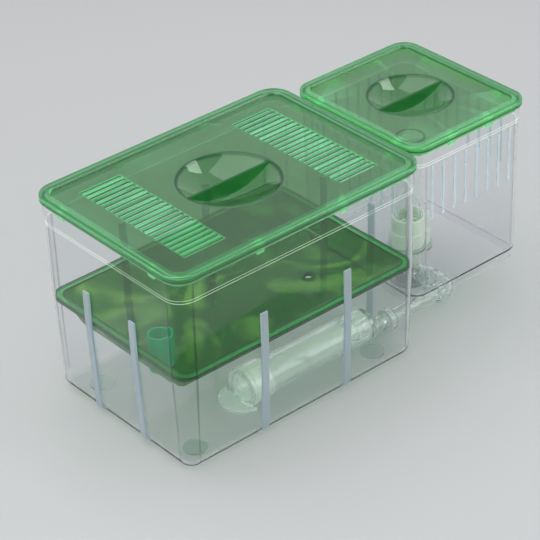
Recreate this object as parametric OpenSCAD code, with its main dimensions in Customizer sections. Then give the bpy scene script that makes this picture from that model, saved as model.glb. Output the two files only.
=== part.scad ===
// Twin fish tank: a large tank with a lift-out waste tray, a small drain tank beside it,
// a lid on each, and the pipe that carries waste water from one floor to the other.
// The origin is on the table, under the middle of the whole set. The small tank lies towards +X.

/* [Large tank] */
// Length over the rim band
main_l = 295.2; // [270:0.1:330]
// Width over the rim band
main_w = 210.6; // [185:0.1:235]
// Height of both rims above the table
rim_z = 210.9; // [185:0.1:230]
// Corner radius of the rim band, seen from above
main_corner_r = 19.5; // [15:0.5:30]
// Height of the rim band
main_band_h = 23; // [10:0.5:30]
// Inward lean of each wall between the band and the tray
main_high_lean = 0.4; // [0.2:0.1:2]
// Inward lean of each wall between the tray and the bottom edge
main_low_lean = 3.7; // [1:0.1:6]
// Radius of the rounded bottom edge
main_edge_r = 12; // [8:0.5:16]
// Width of an outer rib
main_rib_w = 8; // [4:0.5:12]
// How far an outer rib stands out of the wall
main_rib_t = 2.4; // [1:0.1:4]
// Height of a rib's top above the table
main_rib_top = 140.5; // [110:0.5:150]
// Distance between the two ribs of a long wall
main_rib_gap_x = 102; // [80:1:130]
// Distance between the two ribs of an end wall
main_rib_gap_y = 68; // [40:1:90]

/* [Small tank] */
// Length over the rim band
small_l = 150; // [135:0.1:170]
// Width over the rim band
small_w = 171.5; // [150:0.1:190]
// Height of its floor's underside above the table
small_bottom_z = 44.5; // [38:0.1:52]
// Corner radius of the rim band, seen from above
small_corner_r = 16.7; // [14:0.1:26]
// Height of the rim band
small_band_h = 17.5; // [10:0.5:24]
// Inward lean of each wall over its height
small_lean = 1; // [0.4:0.1:2]
// Radius of the rounded bottom edge
small_edge_r = 4; // [3:0.1:8]
// Height of the foot ring under its floor
small_foot_h = 9; // [3:0.5:14]
// Space between the foot ring and the wall above it
small_foot_in = 3; // [1:0.1:4]
// Width of an outer rib
small_rib_w = 3; // [2:0.1:5]
// How far a rib stands out of the wall
small_rib_t = 1.6; // [0.8:0.1:2.5]
// Height of a rib's lower end above the table
small_rib_low_z = 133; // [90:1:150]
// Distance from one rib to the next
small_rib_pitch = 15; // [12:0.1:16]
// Ribs on each wall
small_rib_count = 8; // [4:1:8]
// Space between the two lids
lid_gap = 4.8; // [3:0.1:12]

/* [Walls] */
// Thickness of the tank walls
wall_t = 2; // [1.5:0.1:3]
// Thickness of the tank floors
floor_t = 2.5; // [2:0.1:4]
// How far a rim band stands out of the wall
band_out = 1.2; // [1:0.1:2.5]
// Radius of a foot pad
pad_r = 12; // [8:0.5:16]
// Thickness of a foot pad
pad_t = 1.5; // [1:0.1:3]
// Space between a foot pad and the edge of the flat floor
pad_inset = 6; // [2:0.5:12]

/* [Lids] */
// How far a lid reaches past the rim band
lid_out = 2.4; // [1:0.1:4]
// Height of a lid's outer edge
lid_edge_h = 6.2; // [5:0.1:9]
// Thickness of a lid's flat panel
panel_t = 2.6; // [1.6:0.1:3.4]
// Depth of the panel below the top of the raised border
panel_drop = 2.4; // [0.8:0.1:3.4]
// Width of the raised border
border_w = 11; // [8:0.5:14]
// Rounding of the border's outer top edge
border_round = 2.2; // [1:0.1:3]
// Depth of the skirt that reaches into the tank
skirt_h = 5.5; // [3:0.1:9]
// Thickness of the skirt
skirt_t = 2; // [1.4:0.1:3]
// Width of a locating tab below the skirt
tab_w = 8; // [5:0.5:12]
// Height of a locating tab
tab_h = 3; // [1.5:0.1:5]
// Radius of the large lid's finger dish
main_dish_r = 49.5; // [40:0.5:56]
// Depth of the large lid's finger dish
main_dish_depth = 16.5; // [12:0.5:18]
// Radius of the small lid's finger dish
small_dish_r = 42.5; // [34:0.5:48]
// Depth of the small lid's finger dish
small_dish_depth = 14; // [10:0.1:16]
// Thickness of a dish's wall
dish_t = 2.2; // [1.6:0.1:3]
// Thickness of the finger web across a dish
web_t = 3; // [2:0.1:5]

/* [Vents] */
// Slots in each vent
slot_count = 22; // [8:1:24]
// Distance from one slot to the next
slot_pitch = 7.1; // [5:0.05:7.2]
// Width of a slot
slot_w = 3.5; // [2:0.1:4]
// Length of a slot
slot_l = 46; // [30:0.5:60]
// Distance from the lid's centre to the middle of a vent
vent_x = 92; // [86:0.5:98]

/* [Tray] */
// Height of the tray's rim above the table
tray_z = 106.7; // [90:0.1:125]
// Thickness of the tray's rim
tray_rim_t = 3; // [2:0.1:5]
// Width of the tray's rim
tray_rim_w = 8; // [6:0.5:12]
// Depth of the basin at its low end
tray_depth = 27.8; // [20:0.1:34]
// Thickness of the basin's walls
tray_t = 2.2; // [1.6:0.1:3]
// Outer radius of the drain post
post_r = 11; // [8:0.1:13]
// Thickness of the post's wall
post_t = 2.2; // [1.5:0.1:3]
// How far the post stands above the tray's rim
post_up = 5; // [1:0.5:15]
// How far the post reaches below the basin's floor
post_down = 4; // [2:0.5:8]
// Radius of the small hole in the tray's floor
tray_hole_r = 4; // [2:0.1:6]
// Width of the raised ring round that hole
tray_ring_w = 2.6; // [1.5:0.1:4]
// Height of that ring above the floor
tray_ring_h = 1.8; // [0.8:0.1:3]

/* [Drain tube] */
// Outer diameter of the drain tube
tube_od = 35.4; // [30:0.1:38]
// Wall thickness of the drain tube
tube_t = 5; // [3:0.1:6]
// Distance of the intake's mouth from the tank's centre
mouth_x = 40.5; // [20:0.5:60]
// Length of the intake collar
collar_l = 26; // [20:0.5:36]
// Thickness of the intake collar round the tube
collar_t = 2.5; // [1.5:0.1:4]
// How deep the tube sits in the collar
collar_hold = 20; // [10:0.5:24]
// Radius of the scoop lip in front of the mouth
lip_r = 23.7; // [20:0.1:28]
// Thickness of the scoop lip
lip_t = 2; // [1.2:0.1:2.4]
// Height of the scoop lip's raised edge
lip_h = 4.5; // [3:0.1:8]

/* [Link pipe] */
// Outer diameter of the link pipe
pipe_od = 16; // [12:0.5:17]
// Wall thickness of the link pipe
pipe_t = 2; // [1.2:0.1:2.4]
// Wall thickness of the sockets that hold the pipe
socket_t = 1.9; // [1.5:0.1:2.2]
// Depth of a pipe socket
socket_depth = 10; // [6:0.5:14]
// Distance from an elbow's corner to the bottom of its socket
elbow_reach = 8; // [6.6:0.1:12]
// Space between the two sockets that the cross pipe joins
cross_gap = 3.5; // [1:0.1:12]
// Length of the reducer's taper
reducer_l = 18; // [12:0.5:26]
// Length of the reducer's plug inside the drain tube
plug_l = 14; // [8:0.5:20]
// Wall thickness of the reducer's plug
plug_t = 2.4; // [1.5:0.1:3]
// Radius of the boss on the large tank's wall
boss_r = 12.4; // [11:0.1:12.6]
// How far the boss stands out of the wall
boss_out = 4.2; // [2:0.1:6]
// How far the boss stands into the tank
boss_in = 3; // [1:0.1:5]
// Thickness of the gaskets
gasket_t = 1.2; // [0.8:0.1:2]
// Thickness of the wall nut
nut_t = 6.5; // [4:0.1:7]
// Radius of the wall nut
nut_r = 12; // [11:0.1:12.6]

/* [Standpipe] */
// Outer diameter of the standpipe
stand_od = 30.6; // [24:0.1:32]
// Wall thickness of the standpipe
stand_t = 2.5; // [1.8:0.1:3]
// Height of the standpipe's top above the table
stand_top_z = 167; // [130:0.5:170]
// Radius of the riser where it passes the floor
riser_r = 13.5; // [12:0.1:14]
// Wall thickness of the riser
riser_t = 3.2; // [2:0.1:4]
// Radius of the flange under the small tank
flange_r = 22; // [20:0.5:28]
// Thickness of that flange
flange_t = 2.3; // [1.5:0.1:2.6]
// Radius of the riser's foot on the table
foot_r = 20; // [14:0.5:28]
// Thickness of that foot
foot_t = 2.5; // [1.5:0.1:4]
// Radius of the floor nut
floor_nut_r = 19.9; // [18:0.1:24]
// Height of the floor nut
floor_nut_h = 15.8; // [12:0.1:30]
// Height of the socket above the floor nut
cup_h = 16; // [14:0.5:24]
// Wall thickness of that socket
cup_t = 2.9; // [2.4:0.1:4]
// Height of the socket's shoulder that stops the standpipe
shoulder_h = 4.5; // [3.5:0.1:6]
// Radius of the O ring's section
ring_r = 0.9; // [0.7:0.1:1]

/* [Hidden] */
$fn = 64;
hull_fn = 32;

// Overrun of every cut, the thickness of a hull's slices and the clearances
cut = 1;
slice_t = 0.4;
seat_gap = 0.3;
skirt_gap = 0.5;
tray_gap = 0.5;
glue_gap = 0.1;
slide_gap = 0.3;
ring_gap = 0.05;

// Steps of the rounded bottom edge
edge_angles = [0, 30, 60, 90];

// Outline of the large tank's wall below its band
wall_l = main_l - 2 * band_out;
wall_w = main_w - 2 * band_out;
wall_r = main_corner_r - band_out;
base_l = wall_l - 2 * (main_high_lean + main_low_lean);
base_w = wall_w - 2 * (main_high_lean + main_low_lean);
flat_l = base_l - 2 * main_edge_r;
flat_w = base_w - 2 * main_edge_r;
inner_floor_z = pad_t + floor_t;

// Outline of the small tank's wall below its band
small_wall_l = small_l - 2 * band_out;
small_wall_w = small_w - 2 * band_out;
small_wall_r = small_corner_r - band_out;
small_x = main_l / 2 + small_l / 2 + 2 * lid_out + lid_gap;
small_mid_z = (rim_z + small_bottom_z) / 2;

// Length of both lids with the space between them
set_l = main_l + small_l + 4 * lid_out + lid_gap;

// Heights in the lids
lid_z = rim_z + seat_gap;
lid_top = lid_z + lid_edge_h;
panel_z = lid_top - panel_drop;
round_rise_share = 0.65;
round_in_share = 0.3;

// Places of the vents, pads and tabs
pad_x = flat_l / 2 - pad_inset - pad_r;
pad_y = flat_w / 2 - pad_inset - pad_r;
tab_x_share = 0.17;
tab_y_share = 0.316;

// Outline of the small tank's foot ring
small_foot_l = small_wall_l - 2 * (small_lean + small_foot_in);
small_foot_w = small_wall_w - 2 * (small_lean + small_foot_in);
small_foot_r = small_wall_r - small_lean - small_foot_in;

// Outline of the tray
tray_l = wall_l - 2 * (main_high_lean + wall_t + tray_gap);
tray_w = wall_w - 2 * (main_high_lean + wall_t + tray_gap);
tray_r = wall_r - main_high_lean - wall_t - tray_gap;
basin_l = tray_l - 2 * tray_rim_w;
basin_w = tray_w - 2 * tray_rim_w;
basin_r = 9;
// Floor lines across the basin, as shares of its half length, its depth and its half width
floor_line_shares = [[-0.93, 1, 0.78], [0.72, 0.62, 0.78], [0.9, 0.46, 0.78]];
post_x_share = -0.842;
post_y_share = -0.326;
hole_x_share = 0.514;
hole_y_share = -0.285;
post_x = post_x_share * basin_l / 2;
post_y = post_y_share * basin_w / 2;
hole_x = hole_x_share * basin_l / 2;
hole_y = hole_y_share * basin_w / 2;

// Drain line in the large tank: as far in front as the sockets of the cross pipe need
hub_l = elbow_reach + socket_depth;
line_y = riser_r + 2 * hub_l + cross_gap;
tube_r = tube_od / 2;
collar_r = tube_r + collar_t;
tube_z = inner_floor_z + seat_gap + collar_r;
lip_shift = 7;
lip_reach = 4;

// Link pipe from wall to wall
pipe_r = pipe_od / 2;
hub_r = pipe_r + glue_gap + socket_t;
link_z = inner_floor_z + seat_gap + hub_r;
boss_face = base_l / 2 + boss_out;
boss_back = base_l / 2 - wall_t - boss_in;
reducer_end = flat_l / 2;
reducer_start = reducer_end - reducer_l;
reducer_face_l = 3;

// Heights in the riser, the floor nut and the socket
gasket_z = small_bottom_z - gasket_t;
small_floor_z = small_bottom_z + floor_t;
nut_top_z = small_floor_z + floor_nut_h;
riser_top_z = nut_top_z + shoulder_h / 2;
stand_r = stand_od / 2;
cup_bore_r = stand_r + slide_gap;
cup_r = cup_bore_r + cup_t;
stand_low_z = nut_top_z + shoulder_h + seat_gap;
ring_z = nut_top_z + shoulder_h + (cup_h - shoulder_h) / 2;
ring_centre_r = cup_bore_r + ring_r;

// Depth of the basin's floor at a place along X, between the first two floor lines
function basin_depth(x) =
  let (a = floor_line_shares[0], b = floor_line_shares[1],
       t = (x / (basin_l / 2) - a[0]) / (b[0] - a[0]))
  tray_depth * (a[1] + t * (b[1] - a[1]));

// Moves what is drawn about the large tank's centre to its place in the set
module in_set() {
  translate([main_l / 2 + lid_out - set_l / 2, 0, 0])
    children();
}

// A rectangle with round corners, centred on the origin
module plate_2d(l, w, r) {
  square([l - 2 * r, w], center = true);
  square([l, w - 2 * r], center = true);
  for (sx = [-1, 1], sy = [-1, 1])
    translate([sx * (l / 2 - r), sy * (w / 2 - r)])
      circle(r);
}

module plate(l, w, r, low, high) {
  translate([0, 0, low])
    linear_extrude(high - low)
      plate_2d(l, w, r);
}

// A tub's outer form: a rounded bottom edge, a lower lean up to the knee and an upper lean above it
module tub_form(l, w, r, low, high, knee, low_lean, high_lean, edge, grow) {
  hull() {
    for (a = edge_angles)
      let (inset = high_lean + low_lean + edge * (1 - sin(a)) - grow)
        plate(l - 2 * inset, w - 2 * inset, max(r - inset, edge / 2),
              low + edge * (1 - cos(a)), low + edge * (1 - cos(a)) + slice_t, $fn = hull_fn);
    plate(l - 2 * (high_lean - grow), w - 2 * (high_lean - grow), r - high_lean + grow,
          knee, knee + slice_t, $fn = hull_fn);
    plate(l + 2 * grow, w + 2 * grow, r + grow, high - slice_t, high, $fn = hull_fn);
  }
}

module main_form(low, high, grow) {
  tub_form(wall_l, wall_w, wall_r, low, high, tray_z, main_low_lean, main_high_lean,
           main_edge_r + grow, grow);
}

module small_form(low, high, grow) {
  tub_form(small_wall_l, small_wall_w, small_wall_r, low, high, small_mid_z,
           small_lean / 2, small_lean / 2, small_edge_r, grow);
}

// A cylinder along X from one place to another
module rod_x(r, from, to) {
  translate([from, 0, 0])
    rotate([0, 90, 0])
      cylinder(r = r, h = to - from);
}

module rod_y(r, from, to) {
  translate([0, from, 0])
    rotate([-90, 0, 0])
      cylinder(r = r, h = to - from);
}

module ring(outer_r, inner_r, low, high) {
  translate([0, 0, low])
    difference() {
      cylinder(r = outer_r, h = high - low);
      translate([0, 0, -cut])
        cylinder(r = inner_r, h = high - low + 2 * cut);
    }
}

module main_tank() color([0.86, 0.9, 0.9, 0.4]) in_set() {
  difference() {
    union() {
      main_form(pad_t, rim_z, 0);
      plate(main_l, main_w, main_corner_r, rim_z - main_band_h, rim_z);
      intersection() {
        main_form(pad_t, rim_z, main_rib_t);
        union() {
          for (s = [-1, 1]) {
            translate([s * main_rib_gap_x / 2 - main_rib_w / 2, -main_w / 2, pad_t])
              cube([main_rib_w, main_w, main_rib_top - pad_t]);
            translate([-main_l / 2, s * main_rib_gap_y / 2 - main_rib_w / 2, pad_t])
              cube([main_l, main_rib_w, main_rib_top - pad_t]);
          }
        }
      }
      translate([0, -line_y, link_z])
        rod_x(boss_r, boss_back + boss_in, boss_face);
    }
    difference() {
      main_form(inner_floor_z, rim_z + cut, -wall_t);
      translate([0, -line_y, link_z])
        rod_x(boss_r, boss_back, boss_face);
    }
    translate([0, -line_y, link_z])
      rod_x(pipe_r + glue_gap, boss_back - 2 * cut, boss_face + cut);
  }
}

module foot_pad(sx, sy) {
  translate([sx * pad_x, sy * pad_y, 0])
    cylinder(r = pad_r, h = pad_t);
}

module foot_pad_front_left() color([0.8, 0.84, 0.84]) in_set() foot_pad(-1, -1);

module foot_pad_front_right() color([0.8, 0.84, 0.84]) in_set() foot_pad(1, -1);

module foot_pad_back_left() color([0.8, 0.84, 0.84]) in_set() foot_pad(-1, 1);

module foot_pad_back_right() color([0.8, 0.84, 0.84]) in_set() foot_pad(1, 1);

// A lid with its raised border, skirt, tabs, finger dish and web, centred on the origin
module lid_form(l, w, r, dish_r, dish_depth) {
  ball_r = (dish_r * dish_r + dish_depth * dish_depth) / (2 * dish_depth);
  ball_z = panel_z - dish_depth + ball_r;
  skirt_in = band_out + wall_t + skirt_gap;
  skirt_l = l - 2 * skirt_in;
  skirt_w = w - 2 * skirt_in;
  skirt_r = r - skirt_in;
  difference() {
    union() {
      difference() {
        union() {
          hull() {
            plate(l + 2 * lid_out, w + 2 * lid_out, r + lid_out,
                  lid_z, lid_top - border_round, $fn = hull_fn);
            plate(l + 2 * (lid_out - round_in_share * border_round),
                  w + 2 * (lid_out - round_in_share * border_round),
                  r + lid_out - round_in_share * border_round,
                  lid_z, lid_top - (1 - round_rise_share) * border_round, $fn = hull_fn);
            plate(l + 2 * (lid_out - border_round), w + 2 * (lid_out - border_round),
                  r + lid_out - border_round, lid_z, lid_top, $fn = hull_fn);
          }
          plate(skirt_l, skirt_w, skirt_r, lid_z - skirt_h, lid_z + slice_t);
          intersection() {
            plate(skirt_l, skirt_w, skirt_r, lid_z - skirt_h - tab_h, lid_z);
            for (s = [-1, 1]) {
              translate([s * tab_x_share * l - tab_w / 2, -w / 2, lid_z - skirt_h - tab_h])
                cube([tab_w, w, tab_h + skirt_h]);
              translate([-l / 2, s * tab_y_share * w - tab_w / 2, lid_z - skirt_h - tab_h])
                cube([l, tab_w, tab_h + skirt_h]);
            }
          }
        }
        plate(skirt_l - 2 * skirt_t, skirt_w - 2 * skirt_t, skirt_r - skirt_t,
              lid_z - skirt_h - tab_h - cut, panel_z - panel_t);
      }
      intersection() {
        translate([0, 0, ball_z])
          sphere(ball_r + dish_t);
        translate([0, 0, panel_z - dish_depth - dish_t - cut])
          cylinder(r = dish_r + dish_t, h = dish_depth + dish_t + cut - panel_t / 2);
      }
    }
    plate(l + 2 * lid_out - 2 * border_w, w + 2 * lid_out - 2 * border_w,
          r + lid_out - border_w, panel_z, lid_top + cut);
    translate([0, 0, ball_z])
      sphere(ball_r);
  }
  intersection() {
    translate([0, 0, ball_z])
      sphere(ball_r + dish_t / 2);
    translate([-dish_r, -web_t / 2, panel_z - dish_depth - dish_t])
      cube([2 * dish_r, web_t, dish_depth + dish_t]);
  }
}

module main_lid() color([0.25, 0.6, 0.32, 0.7]) in_set() {
  difference() {
    lid_form(main_l, main_w, main_corner_r, main_dish_r, main_dish_depth);
    for (s = [-1, 1], i = [0 : slot_count - 1])
      translate([s * vent_x - slot_l / 2, (i - (slot_count - 1) / 2) * slot_pitch - slot_w / 2,
                 panel_z - panel_t - cut])
        cube([slot_l, slot_w, panel_t + 2 * cut]);
  }
}

module small_tank() color([0.86, 0.9, 0.9, 0.4]) in_set() {
  difference() {
    translate([small_x, 0, 0])
      difference() {
        union() {
          small_form(small_bottom_z, rim_z, 0);
          plate(small_l, small_w, small_corner_r, rim_z - small_band_h, rim_z);
          difference() {
            plate(small_foot_l, small_foot_w, small_foot_r,
                  small_bottom_z - small_foot_h, small_bottom_z + floor_t / 2);
            plate(small_foot_l - 2 * wall_t, small_foot_w - 2 * wall_t, small_foot_r - wall_t,
                  small_bottom_z - small_foot_h - cut, small_bottom_z);
          }
          intersection() {
            small_form(small_bottom_z, rim_z, small_rib_t);
            union() {
              for (i = [0 : small_rib_count - 1]) {
                translate([(i - (small_rib_count - 1) / 2) * small_rib_pitch - small_rib_w / 2,
                           -small_w / 2, small_rib_low_z])
                  cube([small_rib_w, small_w, rim_z - small_band_h / 2 - small_rib_low_z]);
                translate([-small_l / 2,
                           (i - (small_rib_count - 1) / 2) * small_rib_pitch - small_rib_w / 2,
                           small_rib_low_z])
                  cube([small_l, small_rib_w, rim_z - small_band_h / 2 - small_rib_low_z]);
              }
            }
          }
        }
        small_form(small_floor_z, rim_z + cut, -wall_t);
      }
    translate([small_x, 0, small_bottom_z - cut])
      cylinder(r = riser_r + glue_gap, h = floor_t + 2 * cut);
  }
}

module small_lid() color([0.25, 0.6, 0.32, 0.7]) in_set() {
  translate([small_x, 0, 0])
    lid_form(small_l, small_w, small_corner_r, small_dish_r, small_dish_depth);
}

// The basin's hollow, or with grow above zero its outer form
module basin_form(grow) {
  hull() {
    plate(basin_l + 2 * grow, basin_w + 2 * grow, basin_r + grow, tray_z - slice_t,
          grow > 0 ? tray_z : tray_z + cut, $fn = hull_fn);
    for (p = floor_line_shares)
      translate([p[0] * (basin_l / 2 + grow) - slice_t / 2, -p[2] * (basin_w / 2 + grow),
                 tray_z - p[1] * tray_depth - grow])
        cube([slice_t, 2 * p[2] * (basin_w / 2 + grow), slice_t]);
  }
}

module tray() color([0.32, 0.58, 0.22, 0.8]) in_set() {
  ring_low = tray_z - basin_depth(hole_x) - tray_t / 2;
  ring_high = tray_z - basin_depth(hole_x) + tray_ring_h;
  difference() {
    union() {
      difference() {
        union() {
          plate(tray_l, tray_w, tray_r, tray_z - tray_rim_t, tray_z);
          basin_form(tray_t);
        }
        basin_form(0);
      }
      translate([hole_x, hole_y, ring_low])
        cylinder(r = tray_hole_r + tray_ring_w, h = ring_high - ring_low);
    }
    translate([hole_x, hole_y, ring_low - tray_t - cut])
      cylinder(r = tray_hole_r, h = ring_high - ring_low + tray_t + 2 * cut);
    translate([post_x, post_y, tray_z - tray_depth - tray_t - post_down - cut])
      cylinder(r = post_r + glue_gap, h = tray_depth + tray_t + post_down + cut);
  }
}

module tray_post() color([0.05, 0.38, 0.2]) in_set() {
  translate([post_x, post_y, 0])
    ring(post_r, post_r - post_t, tray_z - tray_depth - tray_t - post_down, tray_z + post_up);
}

module intake_fitting() color([0.8, 0.92, 0.86, 0.6]) in_set() {
  difference() {
    union() {
      translate([0, -line_y, tube_z])
        rod_x(collar_r, -mouth_x, collar_l - mouth_x);
      intersection() {
        translate([lip_shift - mouth_x, lip_shift - line_y, inner_floor_z + seat_gap])
          difference() {
            cylinder(r = lip_r, h = lip_h);
            translate([0, 0, lip_t])
              cylinder(r = lip_r - lip_t, h = lip_h);
          }
        translate([-mouth_x - 2 * lip_r, -line_y - 2 * lip_r, inner_floor_z])
          cube([2 * lip_r + lip_reach, 4 * lip_r, lip_h + 2 * seat_gap]);
      }
    }
    translate([0, -line_y, tube_z]) {
      rod_x(tube_r - tube_t, -mouth_x - cut, collar_l - mouth_x + cut);
      rod_x(tube_r + glue_gap, collar_l - collar_hold - mouth_x, collar_l - mouth_x + cut);
    }
  }
}

module drain_tube() color([0.8, 0.9, 0.86, 0.5]) in_set() {
  translate([0, -line_y, tube_z])
    difference() {
      rod_x(tube_r, collar_l - collar_hold - mouth_x + glue_gap, reducer_start - glue_gap);
      rod_x(tube_r - tube_t, collar_l - collar_hold - mouth_x - cut, reducer_start + cut);
    }
}

module tube_reducer() color([0.78, 0.88, 0.84, 0.6]) in_set() {
  plug_r = tube_r - tube_t - glue_gap;
  difference() {
    translate([0, -line_y, 0]) {
      hull() {
        translate([0, 0, tube_z])
          rod_x(tube_r, reducer_start, reducer_start + reducer_face_l, $fn = hull_fn);
        translate([0, 0, link_z])
          rod_x(hub_r, reducer_end - reducer_face_l, reducer_end, $fn = hull_fn);
      }
      translate([0, 0, tube_z])
        rod_x(plug_r, reducer_start - plug_l, reducer_start + reducer_face_l);
    }
    translate([0, -line_y, 0]) {
      hull() {
        translate([0, 0, tube_z])
          rod_x(plug_r - plug_t, reducer_start - slice_t, reducer_start, $fn = hull_fn);
        translate([0, 0, link_z])
          rod_x(pipe_r - pipe_t, reducer_end - socket_depth, reducer_end - socket_depth + slice_t,
                $fn = hull_fn);
      }
      translate([0, 0, tube_z])
        rod_x(plug_r - plug_t, reducer_start - plug_l - cut, reducer_start);
      translate([0, 0, link_z])
        rod_x(pipe_r + glue_gap, reducer_end - socket_depth, reducer_end + cut);
    }
  }
}

module wall_gasket() color([0.7, 0.74, 0.72]) in_set() {
  translate([0, -line_y, link_z])
    difference() {
      rod_x(nut_r - glue_gap, boss_face, boss_face + gasket_t);
      rod_x(pipe_r + glue_gap, boss_face - cut, boss_face + gasket_t + cut);
    }
}

module wall_nut() color([0.82, 0.9, 0.86, 0.7]) in_set() {
  translate([0, -line_y, link_z])
    difference() {
      rod_x(nut_r, boss_face + gasket_t, boss_face + gasket_t + nut_t);
      rod_x(pipe_r + glue_gap, boss_face, boss_face + gasket_t + nut_t + cut);
    }
}

module link_pipe() color([0.8, 0.9, 0.86, 0.5]) in_set() {
  pipe_start = reducer_end - socket_depth + glue_gap;
  pipe_end = small_x - elbow_reach - glue_gap;
  translate([0, -line_y, link_z])
    difference() {
      rod_x(pipe_r, pipe_start, pipe_end);
      rod_x(pipe_r - pipe_t, pipe_start - cut, pipe_end + cut);
    }
}

module corner_elbow() color([0.82, 0.9, 0.86, 0.7]) in_set() {
  translate([small_x, -line_y, link_z])
    difference() {
      union() {
        rod_x(hub_r, -hub_l, 0);
        rod_y(hub_r, 0, hub_l);
        sphere(hub_r);
      }
      rod_x(pipe_r - pipe_t, -hub_l, 0);
      rod_y(pipe_r - pipe_t, 0, hub_l);
      sphere(pipe_r - pipe_t);
      rod_x(pipe_r + glue_gap, -hub_l - cut, -elbow_reach);
      rod_y(pipe_r + glue_gap, elbow_reach, hub_l + cut);
    }
}

module cross_pipe() color([0.8, 0.9, 0.86, 0.5]) in_set() {
  pipe_start = -line_y + elbow_reach + glue_gap;
  pipe_end = -riser_r - elbow_reach - glue_gap;
  translate([small_x, 0, link_z])
    difference() {
      rod_y(pipe_r, pipe_start, pipe_end);
      rod_y(pipe_r - pipe_t, pipe_start - cut, pipe_end + cut);
    }
}

module riser_elbow() color([0.82, 0.9, 0.86, 0.7]) in_set() {
  translate([small_x, 0, 0])
    difference() {
      union() {
        cylinder(r = foot_r, h = foot_t);
        cylinder(r = riser_r, h = riser_top_z);
        translate([0, 0, gasket_z - flange_t])
          cylinder(r = flange_r, h = flange_t);
        translate([0, 0, link_z])
          rod_y(hub_r, -riser_r - hub_l, 0);
      }
      translate([0, 0, link_z])
        cylinder(r = riser_r - riser_t, h = riser_top_z);
      translate([0, 0, link_z])
        sphere(riser_r - riser_t);
      translate([0, 0, link_z]) {
        rod_y(pipe_r - pipe_t, -riser_r - hub_l, 0);
        rod_y(pipe_r + glue_gap, -riser_r - hub_l - cut, -riser_r - elbow_reach);
      }
    }
}

module floor_gasket() color([0.7, 0.74, 0.72]) in_set() {
  translate([small_x, 0, 0])
    ring(flange_r - glue_gap, riser_r + glue_gap, gasket_z, small_bottom_z);
}

module floor_nut() color([0.8, 0.92, 0.86]) in_set() {
  translate([small_x, 0, 0])
    ring(floor_nut_r, riser_r + glue_gap, small_floor_z, nut_top_z);
}

module standpipe_socket() color([0.82, 0.93, 0.87]) in_set() {
  translate([small_x, 0, 0])
    difference() {
      translate([0, 0, nut_top_z])
        cylinder(r = cup_r, h = cup_h);
      translate([0, 0, nut_top_z - cut])
        cylinder(r = riser_r + glue_gap, h = cut + riser_top_z - nut_top_z + glue_gap);
      translate([0, 0, nut_top_z])
        cylinder(r = riser_r - riser_t, h = cup_h);
      translate([0, 0, nut_top_z + shoulder_h])
        cylinder(r = cup_bore_r, h = cup_h);
      ring(cup_bore_r + 2 * ring_r + ring_gap, stand_r, ring_z - ring_r - ring_gap,
           ring_z + ring_r + ring_gap);
    }
}

module standpipe_o_ring() color([0.7, 0.74, 0.72]) in_set() {
  translate([small_x, 0, ring_z])
    rotate_extrude()
      translate([ring_centre_r, 0])
        circle(ring_r);
}

module standpipe() color([0.85, 0.92, 0.9, 0.5]) in_set() {
  translate([small_x, 0, 0])
    ring(stand_r, stand_r - stand_t, stand_low_z, stand_top_z);
}

main_tank();
foot_pad_front_left();
foot_pad_front_right();
foot_pad_back_left();
foot_pad_back_right();
main_lid();
small_tank();
small_lid();
tray();
tray_post();
intake_fitting();
drain_tube();
tube_reducer();
wall_gasket();
wall_nut();
link_pipe();
corner_elbow();
cross_pipe();
riser_elbow();
floor_gasket();
floor_nut();
standpipe_socket();
standpipe_o_ring();
standpipe();
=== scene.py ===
import bmesh
import bpy
import numpy as np
from mathutils import Euler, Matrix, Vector
from mathutils.geometry import delaunay_2d_cdt


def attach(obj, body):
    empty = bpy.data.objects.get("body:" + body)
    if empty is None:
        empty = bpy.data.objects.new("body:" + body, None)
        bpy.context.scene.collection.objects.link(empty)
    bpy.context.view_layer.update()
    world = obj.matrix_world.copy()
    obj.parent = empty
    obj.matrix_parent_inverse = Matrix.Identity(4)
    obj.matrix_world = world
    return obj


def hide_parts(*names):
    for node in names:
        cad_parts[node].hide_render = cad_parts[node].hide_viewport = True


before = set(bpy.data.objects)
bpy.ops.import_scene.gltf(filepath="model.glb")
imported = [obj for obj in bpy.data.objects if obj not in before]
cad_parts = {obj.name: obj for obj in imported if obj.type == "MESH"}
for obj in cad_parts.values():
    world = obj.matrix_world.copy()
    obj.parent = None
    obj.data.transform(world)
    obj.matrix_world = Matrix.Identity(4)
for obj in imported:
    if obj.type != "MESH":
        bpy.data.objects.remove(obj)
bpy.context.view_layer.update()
print("stage: frame loaded")

mm = 0.001
bigX = -79.8      # middle of the large tank, in mm
smallX = 152.4    # middle of the small tank, in mm
tau = 2 * np.pi

# camera, floor and light

view = {"place": (-1199.43, -1404.83, 1271.46), "turn": (57.1723, 0.0, -39.659), "roll": -2.2818,
        "lens": 150.091, "sensor": 36, "farClip": 50}

stageLook = {
    "floorHalf": 6000, "backdrop": (0.72, 0.73, 0.75), "worldStrength": 0.62, "horizon": (0.66, 0.68, 0.71),
    "zenith": (0.16, 0.17, 0.18), "fadeFrom": 0.55, "fadeTo": 0.95,
}

bounces = {"max_bounces": 28, "transmission_bounces": 28, "glossy_bounces": 12, "transparent_max_bounces": 64}

lamps = [
    # name, place and aim in mm, size in mm, watts
    ("keyPanel", (-200, 500, 2000), (0, 0, 120), (1900, 1700), 18.0),
    ("leftPanel", (-1500, -300, 900), (-40, 0, 100), (1200, 1100), 10.0),
    ("frontPanel", (700, -1500, 700), (60, -40, 90), (1300, 900), 7.5),
    ("dishPanel", (1000, -260, 1500), (0, 0, 200), (700, 420), 4.0),
]


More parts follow.
